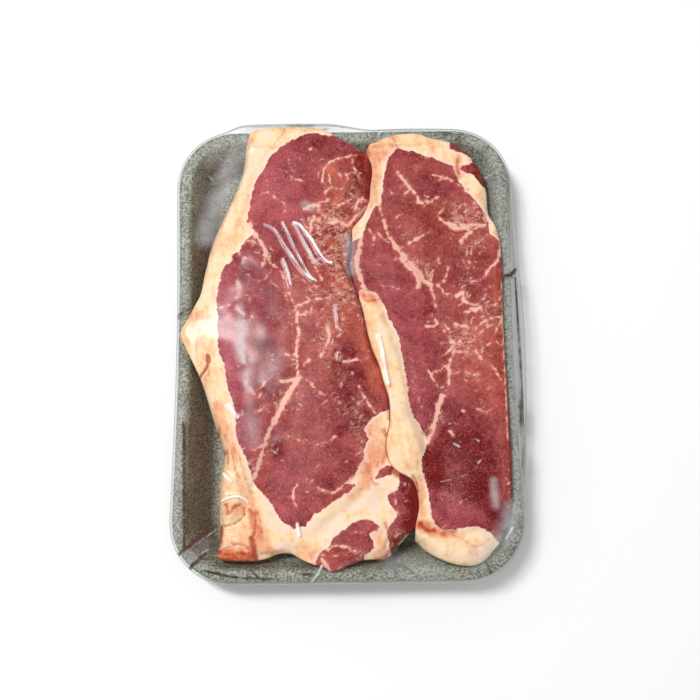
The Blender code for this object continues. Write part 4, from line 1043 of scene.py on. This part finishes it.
# Creases: line, half width, and how sharp and dense each one is. Along each line the film is also painted
# white, as painted glints
CREASES_AND_GLINTS = (
    ([(-25, 60.6), (-22, 59.4), (-18.5, 55), (-15.5, 50.6), (-12.4, 45), (-9, 40.6), (-6.6, 39.8)], 1.3, 0.8),
    ([(-24.6, 60), (-21, 53), (-18, 47), (-14.6, 41), (-11, 38.4)], 1.1, 0.6),
    ([(-39.4, 60), (-36, 58.6), (-33, 55.6), (-28.6, 48.2), (-23.4, 40), (-19.6, 34.6), (-15.8, 31.4)],
     1.15, 0.7),
    ([(-30.4, 60.8), (-27, 53.9), (-23.6, 46), (-20.4, 39.6), (-17.4, 34), (-14, 30.6)], 1.1, 0.65),
    ([(-30.2, 42), (-28.2, 37.2), (-26.2, 29)], 1.5, 0.6),
    ([(-2.6, 23), (-4.6, 17.6), (-4, 11), (-3.4, 7.2), (-0.6, 4.8)], 1.2, 0.5),
    ([(2.3, 3), (-1.3, -0.6), (-3.4, -5), (-3.4, -9), (-1.8, -13)], 1.0, 0.35),
    ([(-57, -29), (-54, -33), (-51.5, -35)], 1.8, 0.6),
    ([(-58.4, -73.6), (-55, -72.2), (-51, -71.8), (-47.8, -73), (-46, -74.6)], 1.2, 0.7),
    ([(-57.8, -61), (-54.2, -64.8)], 1.6, 0.7),
    ([(-57, -90), (-54, -91), (-51.2, -91.8)], 1.2, 0.5),
    ([(-59.6, -96), (-56.6, -94.3), (-53.5, -93.9)], 1.2, 0.5),
    ([(-23.4, -84.6), (-22.6, -90)], 1.6, 0.7),
    ([(15.8, 4), (17.4, -4), (18.6, -12), (19.8, -20)], 1.6, 0.7),
    ([(20.6, -11.7), (22, -19.5)], 1.1, 0.4),
    ([(80, 86), (81.6, 76), (82, 66)], 0.9, 0.35),
    ([(77.4, 82), (78.4, 73)], 0.8, 0.3),
    ([(-83, 84), (-84, 62), (-84.2, 40)], 0.8, 0.25),
    ([(-84, -20), (-84.4, -50), (-84, -76)], 0.8, 0.25),
    ([(73.4, -92.4), (76.6, -87.6)], 1.7, 0.62),
    ([(66, -105), (74, -102)], 0.9, 0.35),
    ([(-70, 104), (-79, 97)], 0.9, 0.3),
    ([(43, -66), (49, -65), (55, -63), (61, -59.2)], 0.9, 0.4),
    ([(50, -48.4), (52.4, -49.8)], 1.2, 0.6),
    ([(60, -46), (62, -47.4)], 1.2, 0.5),
    ([(61, -57.6), (62.8, -56)], 1.1, 0.5),
    ([(41.6, -57.6), (45, -58.8)], 1.0, 0.4),
    ([(-80, -57), (-76.6, -54.6)], 1.0, 0.4),
    ([(-79, 99), (-71.6, 92), (-65, 84)], 1.5, 0.42),
    ([(-79, -99.6), (-74.6, -96), (-68, -91.6), (-61, -86.8)], 0.7, 0.4),
    ([(-75.4, -104.4), (-70, -99), (-64, -95.4)], 0.7, 0.4),
    ([(70, 84), (77, 88)], 1.4, 0.42),
    ([(73, 66), (80, 70)], 1.4, 0.4),
    ([(-17, -111), (-14, -107), (-12, -103.6)], 1.4, 0.6),
    ([(15, 104), (19, 110)], 1.4, 0.44),
    ([(82, 62), (82.2, 46), (82.4, 38)], 0.9, 0.25),
    ([(82.4, 32), (82.8, 10), (83.2, -20), (83.4, -50), (83, -80)], 0.8, 0.3),
    ([(85.6, 20), (86.2, 0), (86.4, -24)], 0.9, 0.2),
)
# Juice held in the folds: line, half width, strength
JUICE = (
    ([(-84, 15.4), (-80, 17), (-75, 19)], 1.1, 0.9),
    ([(-78, -36), (-77.4, -50), (-77.2, -66), (-76.6, -82), (-76.6, -96)], 1.1, 1.0),
    ([(78, 33.6), (80.4, 34), (82.6, 36.4), (84, 37.6)], 1.3, 1.3),
    ([(83.2, 33), (83.8, 10), (84.2, -20), (84.6, -50), (84.4, -78)], 0.9, 1.2),
    ([(-44.6, -103), (-44.8, -106), (-41, -109)], 0.9, 0.8),
    ([(-22.3, -107.4), (-16, -107.6)], 1.2, 0.7),
    ([(-66, -105.6), (-52, -108.6), (-36, -109.6)], 1.0, 0.9),
    ([(22, -103.6), (28, -105.6), (32, -108.6)], 0.8, 0.6),
    ([(28, 107.8), (34, 108.6)], 0.7, 0.8),
    ([(40, 108.2), (50, 109), (58, 108)], 0.8, 0.9),
    ([(56, 104), (58.6, 107)], 0.9, 0.9),
    ([(63.6, -103), (66, -108)], 1.3, 0.8),
    ([(-79.6, -98), (-74, -94), (-68, -89.6), (-61, -85)], 1.5, 0.9),
    ([(-74.6, -105), (-70, -100.6), (-66, -97.6)], 1.4, 0.9),
    ([(-40, 113.6), (-25, 115), (-10, 114.4), (0, 112.4)], 0.6, 0.6),
)
# Haze where the film lifts off the meat or is doubled, and painted sheen: the bands over the top left, down
# the left muscle, over its lower part, along the right rim and on the near right lean are painted reflections
# of the light. Line, half width, amount
HAZES_AND_SHEENS = (
    ([(-52, 100), (-58, 88), (-64, 72), (-68, 56)], 9, 0.42),
    ([(-66, 96), (-62, 104)], 9, 0.2),
    ([(-46, -34), (-44, -46)], 7, 0.22),
    ([(-50.8, 18), (-50.6, 4), (-49.6, -8)], 3.4, 0.35),
    ([(-19.4, 70), (-16, 68)], 3.4, 0.4),
    ([(60, -100), (72, -92), (77, -80)], 8, 0.5),
    ([(79.6, 56), (80.4, 10), (80.4, -40), (80, -76)], 3.4, 0.34),
    ([(68, -66), (69, -77)], 3, 0.5),
    ([(74, 96), (76, 78), (78, 62)], 6, 0.2),
    ([(20, -104), (40, -106)], 8, 0.25),
    ([(2.6, 51), (2.4, 44), (4, 36)], 5, 0.35),
    ([(15, -68), (10, -72)], 6, 0.3),
    ([(-80, -30), (-81, -60), (-82, -90)], 4, 0.2),
    ([(-76, -102), (-66, -93)], 5, 0.12),
)


def mean_of_neighbours(height):
    """Each cell's mean of the four next to it. The outermost cells keep their values."""
    mean = height.copy()
    mean[1:-1, 1:-1] = (height[2:, 1:-1] + height[:-2, 1:-1] + height[1:-1, 2:] + height[1:-1, :-2]) / 4
    return mean


def film_heights(at):
    """The film's height at each point: a membrane relaxed to the mean of its neighbours, never below
    what carries it, which is the lip and the steaks' tops with the film's clearance."""
    half_x, half_y = TRAY_WIDTH / 2 + FILM_CELL, TRAY_LENGTH / 2 + FILM_HUMP + FILM_CELL
    xs = np.arange(-half_x, half_x + FILM_CELL, FILM_CELL)
    ys = np.arange(-half_y, half_y + FILM_CELL, FILM_CELL)
    cells = np.stack(np.meshgrid(xs, ys, indexing="ij"), axis=-1)
    on_lip = tray_inset(cells) < LIP_WIDTH
    support = np.where(on_lip, TRAY_TOP, 0)
    for sides, lobes, seams, marking in ((left_sides, LEFT_LOBES, LEFT_SEAMS, left_marks),
                                         (right_sides, RIGHT_LOBES, RIGHT_SEAMS, right_marks)):
        outline = steak_outline(*sides)
        top, _ = steak_heights(cells, outline, lobes, seams, steak_crags(cells, marking(cells)))
        support = np.maximum(support, np.where(inside(cells, outline), top, 0))
    # A cell carries its neighbours' heights too, so that no edge comes through between two cells
    spread = support.copy()
    for shift_x in (-1, 0, 1):
        for shift_y in (-1, 0, 1):
            spread = np.maximum(spread, np.roll(support, (shift_x, shift_y), axis=(0, 1)))
    support = spread + FILM_CLEARANCE
    # Along the lip the sheet slopes up to each steak that lies on it
    carried = support.copy()
    for _ in range(CREST_STEPS):
        support = np.where(on_lip, np.maximum(carried, mean_of_neighbours(support)), carried)
    edge = tray_inset(cells) < LIP_FILLET
    height = np.full(support.shape, support.max())
    for _ in range(FILM_STEPS):
        height = np.where(edge, support, np.maximum(mean_of_neighbours(height), support))
    column, row = (at[..., 0] + half_x) / FILM_CELL, (at[..., 1] + half_y) / FILM_CELL
    i, j = column.astype(int).clip(0, len(xs) - 2), row.astype(int).clip(0, len(ys) - 2)
    return between(height, (i, i + 1), (j, j + 1), column - i, row - j)


def film_bulge(ring, bulge, hump):
    """A ring of the film moved out: loose off the right side, and round the left steak's far end."""
    x, y = ring.T
    loose = (1 - (y / FILM_BULGE_REACH) ** 2).clip(0, 1) ** 1.5
    right = (x / (TRAY_WIDTH / 2)).clip(0, 1) ** 6
    (start, end), (rise, fall) = FILM_HUMP_ENDS, FILM_HUMP_SLOPES
    lifted = smooth_step((x - start) / rise) * smooth_step((end - x) / fall)
    far = (y / (TRAY_LENGTH / 2)).clip(0, 1) ** 6
    return ring + np.column_stack([bulge * FILM_BULGE * loose * right, hump * FILM_HUMP * lifted * far])


def film_relief(at):
    """Creases as sharp ridges along their lines, and shallow slack waves between them."""
    ridges = CREASE_HEIGHT * strongest_band(at, CREASES_AND_GLINTS)
    waves = 0.16 * value_noise(at, 11 * MM, seed=21) + 0.07 * value_noise(at, 5 * MM, seed=22)
    return MM * (ridges + waves + RELIEF_LIFT)


# Clear stretch film: a mirror only at its skin, so it shows as thin glints and a grey tone edge-on. Its
# creases carry painted white glints, and its haze carries painted sheen.
# Its haze is clouded over patches about 7 mm across, and held juice is broken up every 3 mm or so.
clear_film, tree, output = new_material("clear_stretch_film")
place = add_node(tree, "TexCoord").outputs["Object"]
facing = add_node(tree, "LayerWeight", {"Blend": 0.5}).outputs["Facing"]
steep = add_node(tree, "Math", {0: facing, 1: 3.0}, operation="POWER").outputs[0]
mirrored = add_node(tree, "MapRange", {"Value": steep, "To Min": 0.01, "To Max": 0.8}).outputs[0]
tinted = add_node(tree, "Math", {0: facing, 1: 2.0}, operation="POWER").outputs[0]
through = add_node(tree, "Mix", {0: tinted, 6: colour("ffffff"), 7: colour("6f8286")}, data_type="RGBA")
window = add_node(tree, "BsdfTransparent", {"Color": through.outputs[2]}).outputs[0]
skin = add_node(tree, "BsdfGlossy", {"Color": (1, 1, 1, 1), "Roughness": 0.19}).outputs[0]
sheet = add_node(tree, "MixShader", {"Fac": mirrored, 1: window, 2: skin}).outputs[0]
cloud = add_node(tree, "TexNoise", {"Vector": place, "Scale": 140.0, "Detail": 5.0}).outputs["Fac"]
# Haze mark: real haze in part, and painted sheen of reflected light in part, laid on as a whitish diffuse
# veil
haze = add_node(tree, "Attribute", attribute_name="haze").outputs["Fac"]
misty_and_sheen = add_node(tree, "MapRange", {"Value": cloud, "From Min": 0.25, "From Max": 0.8,
                                    "To Min": 0.3}).outputs[0]
misty_and_sheen = add_node(tree, "Math", {0: misty_and_sheen, 1: haze}, operation="MULTIPLY").outputs[0]
mist_and_sheen = add_node(tree, "BsdfDiffuse", {"Color": colour("e4e4e8")}).outputs[0]
sheet = add_node(tree, "MixShader", {"Fac": misty_and_sheen, 1: sheet, 2: mist_and_sheen}).outputs[0]
# Along a crease the sheet is painted white by a diffuse shader: painted glints standing for the light the
# creases catch
painted_crease_glint = add_node(tree, "Attribute", attribute_name="crease").outputs["Fac"]
painted_crease_glint = add_node(tree, "Math", {0: cloud, 1: 0.7, 2: painted_crease_glint}, operation="MULTIPLY_ADD").outputs[0]
painted_crease_glint = add_node(tree, "MapRange", {"Value": painted_crease_glint, "From Min": 0.66, "From Max": 1.05,
                                      "To Max": 0.85}).outputs[0]
painted_glint_white = add_node(tree, "BsdfDiffuse", {"Color": colour("fbfbfd")}).outputs[0]
sheet = add_node(tree, "MixShader", {"Fac": painted_crease_glint, 1: sheet, 2: painted_glint_white}).outputs[0]
held = add_node(tree, "Attribute", attribute_name="juice").outputs["Fac"]
broken = add_node(tree, "TexNoise", {"Vector": place, "Scale": 300.0, "Detail": 3.0}).outputs["Fac"]
held = add_node(tree, "Math", {0: held, 1: broken}, operation="MULTIPLY").outputs[0]
held = add_node(tree, "MapRange", {"Value": held, "From Min": 0.1, "From Max": 0.5}).outputs[0]
blood = add_node(tree, "BsdfPrincipled", {"Base Color": colour("4a1f18"), "Roughness": 0.2}).outputs[0]
sheet = add_node(tree, "MixShader", {"Fac": held, 1: sheet, 2: blood}).outputs[0]
tree.links.new(sheet, output.inputs["Surface"])

# The mouth is a grid between the four sides of the crest loop; below it rings run down the walls
crest = film_bulge(tray_loop(LIP_FILLET, FILM_ACROSS, FILM_DOWN), 0, 1)
loops = np.vstack([crest, crest[:1]])
left_at, near_at, right_at = FILM_ACROSS, FILM_ACROSS + FILM_DOWN, 2 * FILM_ACROSS + FILM_DOWN
far, left = loops[: left_at + 1][::-1], loops[left_at: near_at + 1][::-1]
near, right = loops[near_at: right_at + 1], loops[right_at:]
flat = patch(near, far, left, right, np.linspace(0, 1, FILM_DOWN + 1), np.linspace(0, 1, FILM_ACROSS + 1))
mouth_height = film_heights(flat) + film_relief(flat) * (tray_inset(flat) / RELIEF_MARGIN).clip(0, 1)
mouth = np.dstack([flat, mouth_height])
index = np.arange(mouth[..., 0].size).reshape(FILM_DOWN + 1, FILM_ACROSS + 1)
rim = np.r_[index[-1, ::-1], index[-2::-1, 0], index[0, 1:], index[1:-1, -1]]
# Rings below the crest: inset, height, shares of the bulge and of the hump
stations = smooth_path(np.array([
    (LIP_FILLET / MM, (TRAY_TOP + RIM_LIFT) / MM, 0.3, 1), (-0.3, TRAY_TOP / MM - 0.2, 0.6, 1),
    (-0.9, TRAY_TOP / MM - 2, 0.9, 0.9), (-0.9, TRAY_TOP / MM - 4.8, 1, 0.7), (5.9, 11, 0.6, 0.2),
    (13.2, 1.6, 0, 0), (15, 0.3, 0, 0), (24, 0.2, 0, 0), (45, 0.2, 0, 0),
]), 4)[1:]
stations[:, 1] = stations[:, 1].clip(0.15, None)
skirt, rings = [], [rim]
start = index.size
rim_height = mouth.reshape(-1, 3)[rim, 2]
for number, (inset, z, bulge, hump) in enumerate(stations):
    ring = film_bulge(tray_loop(inset * MM, FILM_ACROSS, FILM_DOWN), bulge, hump)
    blend = max(0, 1 - number / RIM_FADE_RINGS)
    skirt.append(np.column_stack([ring, z * MM + blend * (rim_height - TRAY_TOP - RIM_LIFT)]))
    rings.append(np.arange(start, start + len(ring)))
    start += len(ring)
points = np.vstack([mouth.reshape(-1, 3), *skirt])
rings = np.array(rings)
quads = np.vstack([grid_faces(index), grid_faces(np.column_stack([rings, rings[:, 0]]), flip=True)])
above = points[:, 2] > 0.5 * TRAY_TOP
# The crease and haze marks carry the painted glints and the painted sheen as well
film_marks = {label: above * strongest_band(points, bands)
              for label, bands in (("crease", CREASES_AND_GLINTS), ("juice", JUICE), ("haze", HAZES_AND_SHEENS))}
add_piece("stretch_film", points, quads, clear_film, film_marks, "film")

# Floor, light and camera
# A white table in a bright white room, lit by a tall window and a small lamp at the far left, with the
# camera almost straight overhead.
FLOOR_HALF = 3
ROOM_BRIGHTNESS = 0.58
floor_mesh = bpy.data.meshes.new("white_table")
floor_mesh.from_pydata([(x * FLOOR_HALF, y * FLOOR_HALF, 0) for x, y in ((-1, -1), (1, -1), (1, 1), (-1, 1))],
                       [], [(0, 1, 2, 3)])
floor = bpy.data.objects.new("white_table", floor_mesh)
bpy.context.scene.collection.objects.link(floor)
table_white, tree, output = new_material("white_table_top")
shader = add_node(tree, "BsdfPrincipled", {"Base Color": colour("f6f6f6"), "Roughness": 0.9,
                                           "Specular IOR Level": 0.1}).outputs[0]
tree.links.new(shader, output.inputs["Surface"])
floor_mesh.materials.append(table_white)

world = bpy.data.worlds.new("bright_room")
bpy.context.scene.world = world
world.use_nodes = True
world.node_tree.nodes["Background"].inputs["Color"].default_value = (1, 1, 1, 1)
world.node_tree.nodes["Background"].inputs["Strength"].default_value = ROOM_BRIGHTNESS

for name, spot, size, power in (
    ("window_left", (-0.4, 0.25, 1.1), (0.07, 0.34), 8.6),
    ("lamp_left", (-0.3, 0.22, 1.15), (0.05, 0.14), 0.6),
):
    lamp = bpy.data.lights.new(name, "AREA")
    lamp.shape = "RECTANGLE"
    lamp.size, lamp.size_y = size
    lamp.energy = power
    made = bpy.data.objects.new(name, lamp)
    made.location = spot
    made.rotation_euler = (Vector((0, 0, 0)) - Vector(spot)).to_track_quat("-Z", "Y").to_euler()
    bpy.context.scene.collection.objects.link(made)

CAMERA_DISTANCE = 0.48
CAMERA_ELEVATION = math.radians(79)
CAMERA_ROLL = math.radians(-0.65)
CAMERA_LENS = 50.9
CAMERA_AIM = Vector((TRAY_MIDDLE[0] + 1.94 * MM, TRAY_MIDDLE[1] - 1.7 * MM, 22 * MM))
lens = bpy.data.cameras.new("camera")
lens.lens = CAMERA_LENS
lens.clip_start = 0.01
camera = bpy.data.objects.new("camera", lens)
back = Vector((0, -math.cos(CAMERA_ELEVATION), math.sin(CAMERA_ELEVATION)))
camera.matrix_world = (Matrix.Translation(CAMERA_AIM + CAMERA_DISTANCE * back)
                       @ back.to_track_quat("Z", "Y").to_matrix().to_4x4()
                       @ Matrix.Rotation(CAMERA_ROLL, 4, "Z"))
bpy.context.scene.collection.objects.link(camera)
bpy.context.scene.camera = camera
bpy.context.scene.view_settings.view_transform = "Standard"
